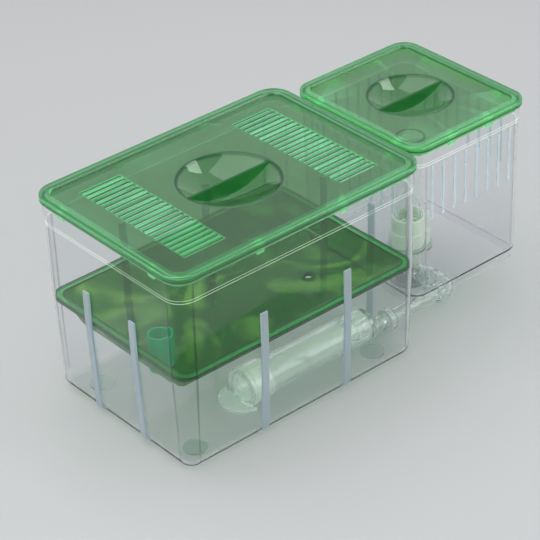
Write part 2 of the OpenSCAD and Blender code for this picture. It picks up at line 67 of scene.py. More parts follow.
def makeCamera():
    camera = bpy.data.objects.new("viewCamera", bpy.data.cameras.new("viewCamera"))
    bpy.context.scene.collection.objects.link(camera)
    camera.data.lens = view["lens"]
    camera.data.sensor_width = view["sensor"]
    camera.data.clip_end = view["farClip"]
    turn = Euler([np.radians(a) for a in view["turn"]]).to_matrix()
    roll = Euler((0, 0, np.radians(view["roll"]))).to_matrix()
    camera.matrix_world = (turn @ roll).to_4x4()
    camera.location = Vector(view["place"]) * mm
    bpy.context.scene.camera = camera


def makeLamps():
    for name, place, aim, size, watts in lamps:
        data = bpy.data.lights.new(name, "AREA")
        data.shape = "RECTANGLE"
        data.size = size[0] * mm
        data.size_y = size[1] * mm
        data.energy = watts
        lamp = bpy.data.objects.new(name, data)
        bpy.context.scene.collection.objects.link(lamp)
        lamp.location = Vector(place) * mm
        lamp.rotation_euler = (Vector(aim) - Vector(place)).to_track_quat("-Z", "Y").to_euler()


# shader maths


# A socket with arithmetic: an expression on values adds its Math nodes, with a number on either side.
class Value:
    def __init__(self, look, socket):
        self.look = look
        self.socket = socket

    def math(self, operation, other):
        return self.look.node("Math", {"operation": operation}, {0: self, 1: other})[0]

    def __add__(self, other):
        return self.math("ADD", other)

    def __mul__(self, other):
        return self.math("MULTIPLY", other)

    __radd__ = __add__
    __rmul__ = __mul__

    def __gt__(self, other):
        return self.math("GREATER_THAN", other)


# A material or a world under construction. A node's outputs come back as values, in the node's order.
class Look:
    def __init__(self, owner):
        owner.use_nodes = True
        self.owner = owner
        self.tree = owner.node_tree
        self.tree.nodes.clear()

    def feed(self, made, key, value):
        if isinstance(value, Value):
            self.tree.links.new(value.socket, made.inputs[key])
        else:
            made.inputs[key].default_value = value

    def node(self, kind, settings=None, sockets=None):
        made = self.tree.nodes.new("ShaderNode" + kind)
        for key, value in (settings or {}).items():
            setattr(made, key, value)
        for key, value in (sockets or {}).items():
            self.feed(made, key, value)
        return [Value(self, out) for out in made.outputs if out.enabled]

    # Noise in object coordinates: about scale bumps to the metre.
    def noise(self, scale, detail=2.0, rough=0.5, twist=0.0):
        place = self.node("TexCoord")[3]
        return self.node("TexNoise", {}, {"Vector": place, "Scale": scale, "Detail": detail,
                                          "Roughness": rough, "Distortion": twist})[0]

    # 0 at low and below, 1 at high and above, straight between.
    def ramp(self, value, low, high):
        return self.node("MapRange", {"clamp": True}, {0: value, 1: low, 2: high, 3: 0.0, 4: 1.0})[0]

    # A normal from a height socket: high is in mm.
    def bump(self, strength, high, height):
        return self.node("Bump", {}, {"Strength": strength, "Distance": high * mm, "Height": height})[0]

    def blend(self, share, first, second):
        made = self.tree.nodes.new("ShaderNodeMix")
        made.data_type = "RGBA"
        self.feed(made, 0, share)
        for key, tone in ((6, first), (7, second)):
            self.feed(made, key, tone if isinstance(tone, Value) else (*tone, 1))
        return Value(self, made.outputs[2])

    def finish(self, kind, **sockets):
        self.node(kind, {}, sockets)
        return self.owner


black = (0.0, 0.0, 0.0)

# Clear and tinted plastics. tint and other: two colours that a slow noise mixes. Where a third colour in
# swirls is given, it is a painted highlight. absorb and density: the colour kept and the strength, for each
# metre, of the absorption inside. through: share of the light let through. rough, index, shine: roughness,
# refractive index and strength of the reflections. shadow: tint of the shadow. wave and waveSize: height and
# size of the unevenness, in mm. dark and bright: painted shade lines and painted lit edges, where the mesh
# is marked so. haze and glow: painted glow, faint light given off everywhere and at bright marks, which
# stands for light carried inside the plastic.
plainClear = {
    "absorb": (0.5, 0.85, 0.72), "density": 8.0, "through": 1.0, "rough": 0.01, "index": 1.5, "shine": 1.0,
    "shadow": (0.92, 0.95, 0.94), "wave": 0.01, "waveSize": 8.0, "dark": (0.4, 0.5, 0.46),
    "bright": (1.0, 1.0, 1.0), "haze": black, "glow": black,
}
lidClear = dict(plainClear, absorb=(0.0, 0.6, 0.3), density=30.0, wave=0.006, waveSize=40.0)
paleClear = dict(plainClear, absorb=(0.6, 0.7, 0.8), density=4.0, through=0.5, index=1.3)

clearLooks = {
    # tankWall: other is a faint lilac, a painted sheen of the plastic's iridescence. dark paints shade lines
    # and glow paints a glow on the band's lines.
    "tankWall": dict(
        plainClear, tint=(0.95, 0.985, 0.97), other=(0.975, 0.94, 0.98), absorb=(0.5, 0.62, 0.62),
        density=18.0, rough=0.0, shine=0.35, shadow=(0.97, 0.97, 0.97), wave=0.03, waveSize=26.0,
        dark=(0.22, 0.25, 0.26), glow=(0.3, 0.36, 0.28)),
    # lidGreen: painted shade lines (dark), painted lit edges (bright) and painted glow (haze, glow).
    "lidGreen": dict(
        lidClear, tint=(0.125, 0.31, 0.13), other=(0.105, 0.28, 0.11), shadow=(0.8, 0.84, 0.81),
        dark=(0.008, 0.1, 0.035), bright=(0.34, 0.82, 0.46), haze=(0.024, 0.042, 0.026),
        glow=(0.03, 0.14, 0.055)),
    "webGreen": dict(
        lidClear, tint=(0.06, 0.34, 0.09), other=(0.05, 0.3, 0.08), through=0.9, rough=0.02,
        shadow=(0.8, 0.86, 0.81), haze=(0.0, 0.012, 0.003)),
    # trayGreen: painted yellow-green highlights in swirls, painted shade lines at the rim's edges (dark), a
    # painted lit rim (bright) and painted glow (haze, glow).
    "trayGreen": dict(
        plainClear, tint=(0.004, 0.13, 0.008), other=(0.025, 0.24, 0.018), highlightPatch=(0.21, 0.52, 0.07),
        absorb=(0.25, 0.74, 0.0), density=40.0, shadow=(0.8, 0.86, 0.8), wave=0.06, waveSize=30.0,
        dark=(0.004, 0.05, 0.015), bright=(0.1, 0.56, 0.15), haze=(0.0, 0.014, 0.001),
        glow=(0.004, 0.06, 0.012)),
    "postGreen": dict(
        plainClear, tint=(0.0, 0.32, 0.13), other=(0.0, 0.38, 0.16), absorb=(0.0, 0.7, 0.46), density=200.0,
        through=0.5, rough=0.04, shadow=(0.5, 0.7, 0.56), wave=0.02, waveSize=20.0, haze=(0.0, 0.035, 0.014)),
    "tubeClear": dict(
        plainClear, tint=(0.95, 0.98, 0.96), other=(0.97, 0.98, 0.95), absorb=(0.5, 0.82, 0.7), density=12.0,
        through=0.92, shadow=(0.94, 0.96, 0.95), wave=0.08, waveSize=20.0),
    "pipeClear": dict(
        plainClear, tint=(0.96, 0.985, 0.97), other=(0.97, 0.98, 0.96), absorb=(0.5, 0.82, 0.7),
        index=1.45, shadow=(0.95, 0.97, 0.96), wave=0.05, waveSize=20.0),
    "collarClear": dict(
        plainClear, tint=(0.95, 0.98, 0.95), other=(0.96, 0.98, 0.96), density=12.0, through=0.88,
        rough=0.02, wave=0.04, waveSize=12.0),
    "fittingClear": dict(
        plainClear, tint=(0.94, 0.98, 0.96), other=(0.95, 0.98, 0.96), through=0.98, rough=0.02, wave=0.04,
        waveSize=12.0),
    "fittingMilky": dict(
        plainClear, tint=(0.84, 0.9, 0.8), other=(0.88, 0.92, 0.85), absorb=(0.4, 0.8, 0.6), density=10.0,
        through=0.4, rough=0.22, index=1.49, shadow=(0.6, 0.7, 0.64), wave=0.02, waveSize=10.0),
    "ribMilky": dict(
        paleClear, tint=(0.46, 0.54, 0.6), other=(0.55, 0.63, 0.67), rough=0.3, shadow=(0.9, 0.91, 0.93)),
    "ribPale": dict(
        paleClear, tint=(0.72, 0.8, 0.86), other=(0.8, 0.86, 0.9), rough=0.25, shadow=(0.92, 0.93, 0.95)),
    "skirtLit": dict(
        paleClear, tint=(0.56, 0.92, 0.36), other=(0.66, 0.98, 0.46), absorb=(0.6, 0.9, 0.4), rough=0.12,
        shadow=(0.95, 0.97, 0.94), haze=(0.05, 0.09, 0.03)),
    "padClear": dict(
        plainClear, tint=(0.93, 0.97, 0.95), other=(0.95, 0.98, 0.96), absorb=(0.5, 0.8, 0.7), rough=0.03,
        index=1.45, shadow=(0.84, 0.88, 0.86), waveSize=6.0),
}

# The noises of every plastic: sizes in bumps to the metre, then what each adds.
plasticGrain = {
    "slow": 14.0, "cloud": 0.015, "fine": 420.0, "fineDetail": 3.0, "fineRough": 0.6, "scuffFrom": 0.68,
    "scuff": 0.03, "swirl": 11.0, "swirlDetail": 1.5, "swirlTwist": 2.2, "swirlFrom": 0.48, "swirlTo": 0.66,
    "waveDetail": 1.0, "bump": 0.35,
}


# Gloss plastic that lets light through. A slow noise moves its tint and roughness and a fine one adds
# scuffs. Absorption inside darkens long paths, as in thick edges. Rays to a lamp pass with a tint. The
# marks paint shade lines and lit edges into the tint, and the emission is a painted glow.
def clearPlastic(name):
    s, g = clearLooks[name], plasticGrain
    look = Look(bpy.data.materials.new(name))
    slow = look.noise(g["slow"])
    fine = look.noise(g["fine"], g["fineDetail"], g["fineRough"])
    wave = look.noise(1 / (s["waveSize"] * mm), g["waveDetail"])
    dark, bright = (look.node("Attribute", {"attribute_name": kind})[2] for kind in ("dark", "bright"))
    tint = look.blend(slow, s["tint"], s["other"])
    # Painted highlights: a lighter colour in swirls, where given.
    if "highlightPatch" in s:
        swirl = look.noise(g["swirl"], g["swirlDetail"], twist=g["swirlTwist"])
        tint = look.blend(look.ramp(swirl, g["swirlFrom"], g["swirlTo"]), tint, s["highlightPatch"])
    # Painted shade lines at dark marks, painted lit edges and painted glow at bright marks.
    tint = look.blend(dark, look.blend(bright, tint, s["bright"]), s["dark"])
    lit = look.blend(dark, look.blend(bright, s["haze"], s["glow"]), black)
    body = look.node("BsdfPrincipled", {}, {
        "Base Color": tint,
        "Roughness": slow * g["cloud"] + s["rough"] + (fine > g["scuffFrom"]) * g["scuff"],
        "Normal": look.bump(g["bump"], s["wave"], wave),
        "Emission Color": lit, "Emission Strength": 1.0, "Transmission Weight": s["through"],
        "IOR": s["index"], "Specular Tint": (*(s["shine"],) * 3, 1)})[0]
    passing = look.node("BsdfTransparent", {}, {"Color": (*s["shadow"], 1)})[0]
    inside = look.node("VolumeAbsorption", {}, {"Color": (*s["absorb"], 1), "Density": s["density"]})[0]
    shadowRay = look.node("LightPath")[1]
    surface = look.node("MixShader", {}, {0: shadowRay, 1: body, 2: passing})[0]
    return look.finish("OutputMaterial", Surface=surface, Volume=inside)


# Plain surfaces: one noise moves the tone, the roughness (rough + grain * roughMore) and the bump, whose
# height is in mm.
grainyLooks = {
    "sealSilicone": {
        "grain": 900.0, "detail": 3.0, "tone": (0.66, 0.70, 0.68), "other": (0.74, 0.78, 0.76),
        "rough": 0.35, "roughMore": 0.15, "bump": 0.4, "bumpHigh": 0.03,
        "more": {"Subsurface Weight": 0.2, "Transmission Weight": 0.3}},
    # Painted shade: the dark green of the thin strips on the tray rim's edges.
    "shadeLineDark": {
        "grain": 300.0, "detail": 2.0, "tone": (0.004, 0.040, 0.018), "other": (0.008, 0.062, 0.030),
        "rough": 0.22, "roughMore": 0.1, "bump": 0.3, "bumpHigh": 0.02,
        "more": {"Specular IOR Level": 0.3}},
    "floorPale": {
        "grain": 3.0, "detail": 2.0, "tone": (0.50, 0.51, 0.52), "other": (0.4925, 0.50235, 0.5122),
        "rough": 0.6, "roughMore": 0.0, "bump": 0.0, "more": {"Specular IOR Level": 0.2}},
}


def grainyLook(name):
    s = grainyLooks[name]
    look = Look(bpy.data.materials.new(name))
    grain = look.noise(s["grain"], s["detail"])
    sockets = {"Base Color": look.blend(grain, s["tone"], s["other"]),
               "Roughness": grain * s["roughMore"] + s["rough"], **s["more"]}
    if s["bump"]:
        sockets["Normal"] = look.bump(s["bump"], s["bumpHigh"], grain)
    return look.finish("OutputMaterial", Surface=look.node("BsdfPrincipled", {}, sockets)[0])


def makeStage():
    half = stageLook["floorHalf"] * mm
    verts = [(-half, -half, 0), (half, -half, 0), (half, half, 0), (-half, half, 0)]
    mesh = bpy.data.meshes.new("floor")
    mesh.from_pydata(verts, [], [(0, 1, 2, 3)])
    floor = bpy.data.objects.new("floor", mesh)
    bpy.context.scene.collection.objects.link(floor)
    mesh.materials.append(grainyLook("floorPale"))


# Soft even light. The camera sees the backdrop's tone. Reflections and refractions, which all count as
# glossy rays, see a studio that is pale at the horizon and darker overhead: it gives clear plastic its edges.
def makeWorld():
    look = Look(bpy.data.worlds.new("studio"))
    path = look.node("LightPath")
    camera, glossy = path[0], path[3]
    up = look.node("SeparateXYZ", {}, {0: look.node("TexCoord")[0]})[2]
    share = look.ramp(up, stageLook["fadeFrom"], stageLook["fadeTo"])
    studio = look.blend(share, stageLook["horizon"], stageLook["zenith"])
    soft = look.blend(glossy, (stageLook["worldStrength"],) * 3, studio)
    shown = look.blend(camera, soft, stageLook["backdrop"])
    light = look.node("Background", {}, {"Color": shown})[0]
    bpy.context.scene.world = look.finish("OutputWorld", Surface=light)


# surfaces worked out with numpy


# Evenly spaced angles round a circle.
def around(steps):
    return np.arange(steps) / steps * tau


# Quads between neighbours on a grid of rows by cols points, counted row by row.
def gridFaces(rows, cols, closeRows=False, closeCols=False):
    r = np.arange(rows if closeRows else rows - 1)
    c = np.arange(cols if closeCols else cols - 1)
    r, c = np.meshgrid(r, c, indexing="ij")
    nextR, nextC = (r + 1) % rows, (c + 1) % cols
    quads = np.stack([r * cols + c, r * cols + nextC, nextR * cols + nextC, nextR * cols + c], -1)
    return quads.reshape(-1, 4).tolist()


# A turn from start to end that is drawn towards corner: (1-t)^2 start + 2t(1-t) corner + t^2 end.
def bend(start, corner, end, t):
    return (1 - t) ** 2 * start + 2 * t * (1 - t) * corner + t ** 2 * end


# A smooth step from 0 to 1: t^2 (3 - 2t).
def smooth(t):
    return t * t * (3 - 2 * t)


# The four corners of a section, from its inner side to its outer one and from a to b.
def box(inner, outer, a, b):
    return [[inner, a], [outer, a], [outer, b], [inner, b]]


# Flat points at height z, one number or one for each point.
def level(points, z):
    return np.column_stack([points, np.broadcast_to(z, len(points))])


# The two end faces of a bar: its first and its last column of rows by cols points.
def endFaces(rows, cols):
    return [[k * cols for k in range(rows)], [k * cols + cols - 1 for k in range(rows)][::-1]]


# An open polyline with each inner corner replaced by a bend that starts and ends radius away from it.
# radius is one number or one for each inner corner.
def softened(points, radius, steps):
    pts = np.asarray(points, float)
    inner = len(pts) - 2
    t = np.linspace(0, 1, steps + 1)[:, None]
    out = [pts[:1]]
    for i, wanted in enumerate(np.broadcast_to(np.asarray(radius, float), (inner,))):
        a, corner, b = pts[i], pts[i + 1], pts[i + 2]
        toA, toB = a - corner, b - corner
        reach = min(wanted, 0.48 * np.linalg.norm(toA), 0.48 * np.linalg.norm(toB))
        if reach <= 0:
            out.append(corner[None])
            continue
        start = corner + toA / np.linalg.norm(toA) * reach
        end = corner + toB / np.linalg.norm(toB) * reach
        out.append(bend(start, corner, end, t))
    out.append(pts[-1:])
    return np.vstack(out)


# softened for a closed outline: every corner is rounded and the end isn't repeated.
def closedSoft(points, radius, steps=3):
    pts = np.asarray(points, float)
    start = (pts[-1] + pts[0]) / 2
    return softened(np.vstack([start, pts, start]), radius, steps)[:-1]


# A round-cornered rectangle as core points and outward normals. The core is the rectangle of half sizes
# halfX, halfY; a point at distance d is core + d * normal, so d is the corner radius. Marks are extra
# places along the straight sides. Returns core, normal, side number (0 front, 1 right, 2 back, 3 left, -1
# in a corner) and place along the side, all anticlockwise seen from above, from the front left.
def roundLoop(halfX, halfY, marksX, marksY, steps):
    core, normal, side, along = [], [], [], []
    a = np.linspace(0, np.pi / 2, steps + 1)[1:-1]
    corners = [((halfX, -halfY), -np.pi / 2), ((halfX, halfY), 0), ((-halfX, halfY), np.pi / 2),
               ((-halfX, -halfY), np.pi)]
    for k, (corner, startAngle) in enumerate(corners):
        flat = np.array([np.cos(startAngle), np.sin(startAngle)])
        way = np.array([-flat[1], flat[0]])
        half, marks = (halfX, marksX) if k % 2 == 0 else (halfY, marksY)
        places = np.array(sorted({-half, half, *marks}))
        base = np.array(corner) - way * half
        core.append(base + way * places[:, None])
        normal.append(np.tile(flat, (len(places), 1)))
        side.append(np.full(len(places), k))
        along.append(places if k < 2 else -places)
        core.append(np.tile(corner, (len(a), 1)))
        normal.append(np.stack([np.cos(startAngle + a), np.sin(startAngle + a)], -1))
        side.append(np.full(len(a), -1))
        along.append(np.zeros(len(a)))
    return np.vstack(core), np.vstack(normal), np.concatenate(side), np.concatenate(along)


# A profile of (distance, height) points carried round a loop: core + distance * normal, at height.
def carried(loop, profile):
    core, normal, _, _ = loop
    xy = core[None] + profile[:, 0][:, None, None] * normal[None]
    z = np.repeat(profile[:, 1:], len(core), 1)
    return np.concatenate([xy, z[..., None]], -1)


# A closed section carried round a loop, moved by x.
def hoop(loop, section, x):
    ring = carried(loop, section)
    return ring.reshape(-1, 3) + (x, 0, 0), gridFaces(len(section), ring.shape[1], True, True)


# A closed profile of (radius, place along the axis) points turned round an axis through centre: each point
# is carried to (radius cos a, radius sin a, place) for every angle a.
def turned(profile, centre, axis, steps):
    a = around(steps)
    r, h = np.asarray(profile, float).T
    x = r[:, None] * np.cos(a)
    y = r[:, None] * np.sin(a)
    z = np.repeat(h[:, None], steps, 1)
    spin = {"z": (x, y, z), "x": (z, x, y), "y": (y, z, x)}[axis]
    verts = np.stack(spin, -1).reshape(-1, 3) + np.asarray(centre, float)
    return verts, gridFaces(len(r), steps, True, True)


# A round tube skin along a level path: path + radius (sideways cos a + up sin a), square to the path.
def swept(path, radii, steps):
    ahead = np.gradient(path, axis=0)
    ahead /= np.linalg.norm(ahead, axis=1)[:, None]
    sideways = np.cross(ahead, [0.0, 0.0, 1.0])
    sideways /= np.linalg.norm(sideways, axis=1)[:, None]
    over = np.cross(sideways, ahead)
    a = around(steps)[None, :, None]
    ring = sideways[:, None] * np.cos(a) + over[:, None] * np.sin(a)
    return path[:, None] + ring * radii[:, None, None]


# Points of a circle in the plane: centre + radius (cos a, sin a).
def disc(hole, steps=48):
    x, y, radius = hole
    a = around(steps)
    return np.column_stack([x + radius * np.cos(a), y + radius * np.sin(a)])


# True where a ray towards +X from the point crosses the loop's edges an odd number of times.
def insideOf(points, loop):
    a, b = loop, np.roll(loop, -1, 0)
    px, py = points[:, :1], points[:, 1:]
    crosses = (a[:, 1] > py) != (b[:, 1] > py)
    slope = (b[:, 0] - a[:, 0]) / np.where(b[:, 1] == a[:, 1], 1e-12, b[:, 1] - a[:, 1])
    hit = px < a[:, 0] + (py - a[:, 1]) * slope
    return (crosses & hit).sum(1) % 2 == 1


# A sheet inside outline and outside holes, at height z, a number or a function of the points: a Delaunay
# triangulation of their points that keeps only triangles whose middle lies inside the outline and outside
# every hole.
def plate(outline, holes, z):
    loops = [np.asarray(outline, float)] + [np.asarray(h, float) for h in holes]
    edges, start = [], 0
    for loop in loops:
        n = len(loop)
        edges += [(start + i, start + (i + 1) % n) for i in range(n)]
        start += n
    verts, _, tris, *_ = delaunay_2d_cdt([Vector(p) for p in np.vstack(loops)], edges, [], 0, 1e-7)
    v = np.array([tuple(p) for p in verts])
    t = np.array(tris)
    mid = v[t].mean(1)
    keep = insideOf(mid, loops[0])
    for hole in loops[1:]:
        near = (np.abs(mid - hole.mean(0)) <= np.ptp(hole, axis=0) / 2 + 0.01).all(1) & keep
        keep[near] &= ~insideOf(mid[near], hole)
    return level(v, z(v) if callable(z) else z), t[keep].tolist()


looks = {}


# Joins parts, each (verts in mm, faces) and maybe marks, into one mesh with outward faces and adds it to the
# frame. Marks, a number for each point, are kept on the mesh as the attributes dark and bright. wall, in mm,
# thickens an open sheet inwards. Weighted normals keep the flat faces flat beside their rounded edges.
def makePiece(name, parts, look, body, nodes, sharp=32.0, wall=0.0):
    verts, faces, start = [], [], 0
    marks = {kind: [] for kind in ("dark", "bright")}
    for v, f, *given in parts:
        v = np.asarray(v, float).reshape(-1, 3)
        verts.append(v)
        faces += [[i + start for i in face] for face in f]
        start += len(v)
        for kind in marks:
            marks[kind].append(np.broadcast_to(given[0].get(kind, 0.0) if given else 0.0, (len(v),)))
    mesh = bpy.data.meshes.new(name)
    mesh.from_pydata((np.vstack(verts) * mm).tolist(), [], faces)
    for kind, lists in marks.items():
        held = np.concatenate(lists).astype(np.float32)
        if held.any():
            mesh.attributes.new(kind, "FLOAT", "POINT").data.foreach_set("value", held)
    bm = bmesh.new()
    bm.from_mesh(mesh)
    bmesh.ops.remove_doubles(bm, verts=bm.verts, dist=1e-6)
    bmesh.ops.recalc_face_normals(bm, faces=bm.faces)
    bm.to_mesh(mesh)
    openEdges = [edge.index for edge in bm.edges if edge.is_boundary]
    bm.free()
    mesh.shade_smooth()
    mesh.set_sharp_from_angle(angle=np.radians(sharp))
    for number in openEdges:
        mesh.edges[number].use_edge_sharp = True
    piece = bpy.data.objects.new(name, mesh)
    bpy.context.scene.collection.objects.link(piece)
    mesh.materials.append(looks[look])
    if wall:
        thick = piece.modifiers.new("wall", "SOLIDIFY")
        thick.thickness = wall * mm
        thick.offset = -1
        thick.use_even_offset = False
    even = piece.modifiers.new("evenShade", "WEIGHTED_NORMAL")
    even.keep_sharp = True
    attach(piece, body)
    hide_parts(*nodes)


# tanks

bigTank = {
    "length": 295.2, "width": 210.6, "corner": 19.5, "top": 210.9, "bottom": 1.5, "band": 23.0,
    "bandOut": 1.2, "wall": 2.0, "floor": 2.5, "knee": 106.7, "highLean": 0.4, "lowLean": 3.7, "edge": 12.0,
    "footHigh": 0.0, "footIn": 0.0, "cornerSteps": 18, "streak": 0.8, "ribX": (-51.0, 51.0),
    "ribY": (-34.0, 34.0), "ribWidth": 8.0, "ribOut": 2.4, "ribLow": 1.5, "ribTop": 140.5, "ribCut": 0.5,
    "ribLook": "ribMilky",
}

smallRibs = tuple((i - 3.5) * 15.0 for i in range(8))
smallTank = dict(
    bigTank, length=150.0, width=171.5, corner=16.7, bottom=44.5, band=17.5, knee=127.7, highLean=0.5,
    lowLean=0.5, edge=4.0, footHigh=9.0, footIn=3.0, cornerSteps=16, streak=0.6, ribX=smallRibs,
    ribY=smallRibs, ribWidth=3.0, ribOut=1.6, ribLow=133.0, ribTop=193.4, ribCut=0.4, ribLook="ribPale")

# Rows of points on a tub's profile, in mm. bandRows count from the band's lower edge and hold the painted
# highlight lines there to their own strips.
tubRows = {
    "turn": 9, "inset": 2.0, "pastEdge": 0.8, "byKnee": 1.5, "belowBand": 2.6, "bandStart": 1.6,
    "bandRows": (0.4, 1.2, 1.4, 3.2, 3.4, 3.9, 4.1), "bandRound": (0.5, 0.35), "rimRound": (0.9, 0.9),
    "stepAt": 0.4, "stepHalf": 0.85, "lineAt": 3.65, "lineHalf": 0.26, "mouth": 0.6, "innerEdge": 1.5,
}

ribShape = {"gap": 0.05, "beside": 0.5, "steps": 24, "start": 1.6, "end": 2.0, "ease": 6.0, "foot": 0.35}


# The tub's outer rows and its whole profile of (distance, height): up the outer wall, over the band and the
# rim, down the inner wall, round its edge and in along the floor.
def tubProfile(s):
    t, r, lean = tubRows, s["corner"] - s["bandOut"], s["highLean"] + s["lowLean"]
    edge, low, top, wall, knee = (s[key] for key in ("edge", "bottom", "top", "wall", "knee"))
    bandLow, bandOut = top - s["band"], r + s["bandOut"]

    # Distance of the outer wall at height z: straight from the edge to the knee and on to the rim.
    def wallDist(z):
        return np.interp(z, [low + edge, knee, top], [r - lean, r - s["highLean"], r])

    a = np.linspace(0, np.pi / 2, t["turn"])
    turn = np.column_stack([r - lean - edge * (1 - np.sin(a)), low + edge * (1 - np.cos(a))])
    heights = np.array([low + edge + t["pastEdge"], knee - t["byKnee"], knee, knee + t["byKnee"],
                        bandLow - t["belowBand"]])
    outer = np.vstack([[[turn[0, 0] - t["inset"], low]], turn, np.column_stack([wallDist(heights), heights])])
    bandStart, innerKnee = bandLow - t["bandStart"], knee + t["byKnee"]
    corners = [[wallDist(bandStart), bandStart], [wallDist(bandLow), bandLow],
               *[[bandOut, bandLow + rise] for rise in t["bandRows"]], [bandOut, top], [r - wall, top],
               [wallDist(innerKnee) - wall, innerKnee]]
    plain = [0] * (len(t["bandRows"]) - 1)
    band = softened(corners, [*t["bandRound"], *plain, *t["rimRound"]], 4)
    inEdge, inLow = max(edge - wall, t["innerEdge"]), low + s["floor"]
    turnIn = np.column_stack([r - lean - wall - inEdge * (1 - np.sin(a)), inLow + inEdge * (1 - np.cos(a))])
    inRows = np.array([knee, knee - t["byKnee"], inLow + inEdge + t["pastEdge"]])
    inner = np.vstack([np.column_stack([wallDist(inRows) - wall, inRows]), turnIn[::-1],
                       [[turnIn[0, 0] - t["inset"], inLow]]])
    return outer, np.vstack([outer, band, inner])


# A tub: its profile carried round a round-cornered rectangle, with columns beside each rib's place. Marks:
# painted dark streaks up both ends of each corner, which stand for the corners' reflections, painted shade
# inside the rim and painted highlight lines with a glow along the band.
def makeTank(name, s, centreX, nodes, holes=()):
    t, r, lean = tubRows, s["corner"] - s["bandOut"], s["highLean"] + s["lowLean"]
    halfX, halfY = s["length"] / 2 - s["corner"], s["width"] / 2 - s["corner"]
    low, top = s["bottom"], s["top"]
    bandLow, inLow = top - s["band"], low + s["floor"]
    rib, by = s["ribWidth"] / 2, ribShape["beside"]
    beside = (-rib - by, -rib, rib, rib + by)
    marksX, marksY = ([c + m for c in s[key] for m in beside if abs(c + m) < half]
                      for key, half in (("ribX", halfX), ("ribY", halfY)))
    loop = roundLoop(halfX, halfY, marksX, marksY, s["cornerSteps"])
    outer, profile = tubProfile(s)
    skin = carried(loop, profile)
    rows, cols = skin.shape[:2]
    out, z = profile.T
    rise = z - bandLow
    # Painted highlight lines at the band's step, painted shade at the rim's mouth, painted dark streaks at
    # the corners.
    lines = (np.abs(rise - t["stepAt"]) < t["stepHalf"]) | (np.abs(rise - t["lineAt"]) < t["lineHalf"])
    mouth = (z > top - t["mouth"]) & (out < r + s["bandOut"] - 0.3)
    upright = (out > r - lean - 0.5) & (z < bandLow) & (z > low + s["edge"])
    inCorner = loop[2] < 0
    cornerEnd = inCorner & ~(np.roll(inCorner, -1) & np.roll(inCorner, 1))
    dark = np.maximum(mouth[:, None] * 1.0, upright[:, None] * cornerEnd[None] * s["streak"])
    verts = skin.reshape(-1, 3) + (centreX, 0, 0)
    parts = [(verts, gridFaces(rows, cols, False, True),
              {"dark": dark.ravel(), "bright": np.repeat((lines & (out > r - 1.5)) * 1.0, cols)})]
    for edge, height in ((verts[:cols], low), (verts[-cols:], inLow)):
        parts.append(plate(edge[:, :2], [disc(h) for h in holes], height))
    if s["footHigh"]:
        d, footLow, footTop = r - lean - s["footIn"], low - s["footHigh"], low + 0.05
        back = d - s["wall"]
        foot = closedSoft([[d, footLow], [d, footTop], [back, footTop], [back, footLow]], 0.6)
        parts.append(hoop(loop, foot, centreX))
    for hole in holes:
        ring = disc(hole)
        wall = np.vstack([level(ring, height) for height in (low, inLow)])
        parts.append((wall, gridFaces(2, len(ring), False, True)))
    makePiece(name, parts, "tankWall", "base", nodes)
    z = np.linspace(max(s["ribLow"], low + ribShape["start"]), min(s["ribTop"], bandLow - ribShape["end"]),
                    ribShape["steps"])
    d = np.interp(z, outer[1:, 1], outer[1:, 0]) + ribShape["gap"]
    makeRibs(name + "Ribs", s, centreX, halfX, halfY, np.column_stack([d, z]), nodes)


# Each rib: a section across the wall, its outer corners cut, carried up the wall's outline and closed at
# both ends. A rib that starts at the tub's bottom is thin there and grows on a smooth step.
def makeRibs(name, s, centreX, halfX, halfY, path, nodes):
    side, out, cut = s["ribWidth"] / 2, s["ribOut"], s["ribCut"]
    section = np.array([[-side, 0], [-side, 1 - cut / out], [cut - side, 1], [side - cut, 1],
                        [side, 1 - cut / out], [side, 0]])
    t = np.clip((path[:, 1] - path[0, 1]) / ribShape["ease"], 0, 1)
    foot = ribShape["foot"] if s["ribLow"] <= s["bottom"] else 1.0
    thick = out * (foot + (1 - foot) * smooth(t)) - ribShape["gap"]
    dist = path[:, :1] + thick[:, None] * section[:, 1]
    across = np.broadcast_to(section[:, 0], dist.shape)
    high = np.broadcast_to(path[:, 1:], dist.shape)
    n = len(section)
    faces = gridFaces(len(path), n, False, True)
    faces += [list(range(n)), list(range((len(path) - 1) * n, len(path) * n))]
    parts = []
    sides = ((halfY, s["ribX"], (1, 0), (0, -1)), (halfX, s["ribY"], (0, 1), (1, 0)),
             (halfY, s["ribX"], (-1, 0), (0, 1)), (halfX, s["ribY"], (0, -1), (-1, 0)))
    for half, places, wayAlong, wayOut in sides:
        for c in places:
            flat = (across + c)[..., None] * np.array(wayAlong) + (dist + half)[..., None] * np.array(wayOut)
            rib = np.concatenate([flat, high[..., None]], -1)
            parts.append((rib.reshape(-1, 3) + (centreX, 0, 0), faces))
    makePiece(name, parts, s["ribLook"], "base", nodes)


# lids

# crownRows: distances back from the lid's edge of rows on top of the border. The Dark entries: strengths of
# painted shade lines. The Glow entries: strengths of painted glow.
lidShape = {
    "out": 2.4, "low": 211.2, "edge": 6.2, "drop": 2.4, "panel": 2.6, "border": 11.0, "borderFoot": 1.2,
    "borderRise": 0.9, "crownRows": (8.4, 8.1, 6.4, 6.1, 4.0, 3.6), "round": 2.2, "skirt": 5.5,
    "skirtWall": 2.0, "skirtIn": 3.7, "tabWidth": 8.0, "tabHeight": 3.0, "tabSoft": 0.3, "tabX": 0.17,
    "tabY": 0.316, "dishWall": 2.2, "dishSteps": 96, "fillet": 0.9, "web": 3.0, "webCut": 0.5, "webSteps": 61,
    "glowStripWide": 0.9, "hemDark": 0.95, "flankDark": 0.7, "shoulderDark": 0.3, "inEdgeDark": 0.8,
    "crownGlow": 0.5, "skirtGlow": 0.35,
}

# A ball's cap of this radius and depth is the finger dish.
bigLid = {"dishR": 49.5, "dishDeep": 16.5, "vented": True}
smallLid = {"dishR": 42.5, "dishDeep": 14.0, "vented": False}

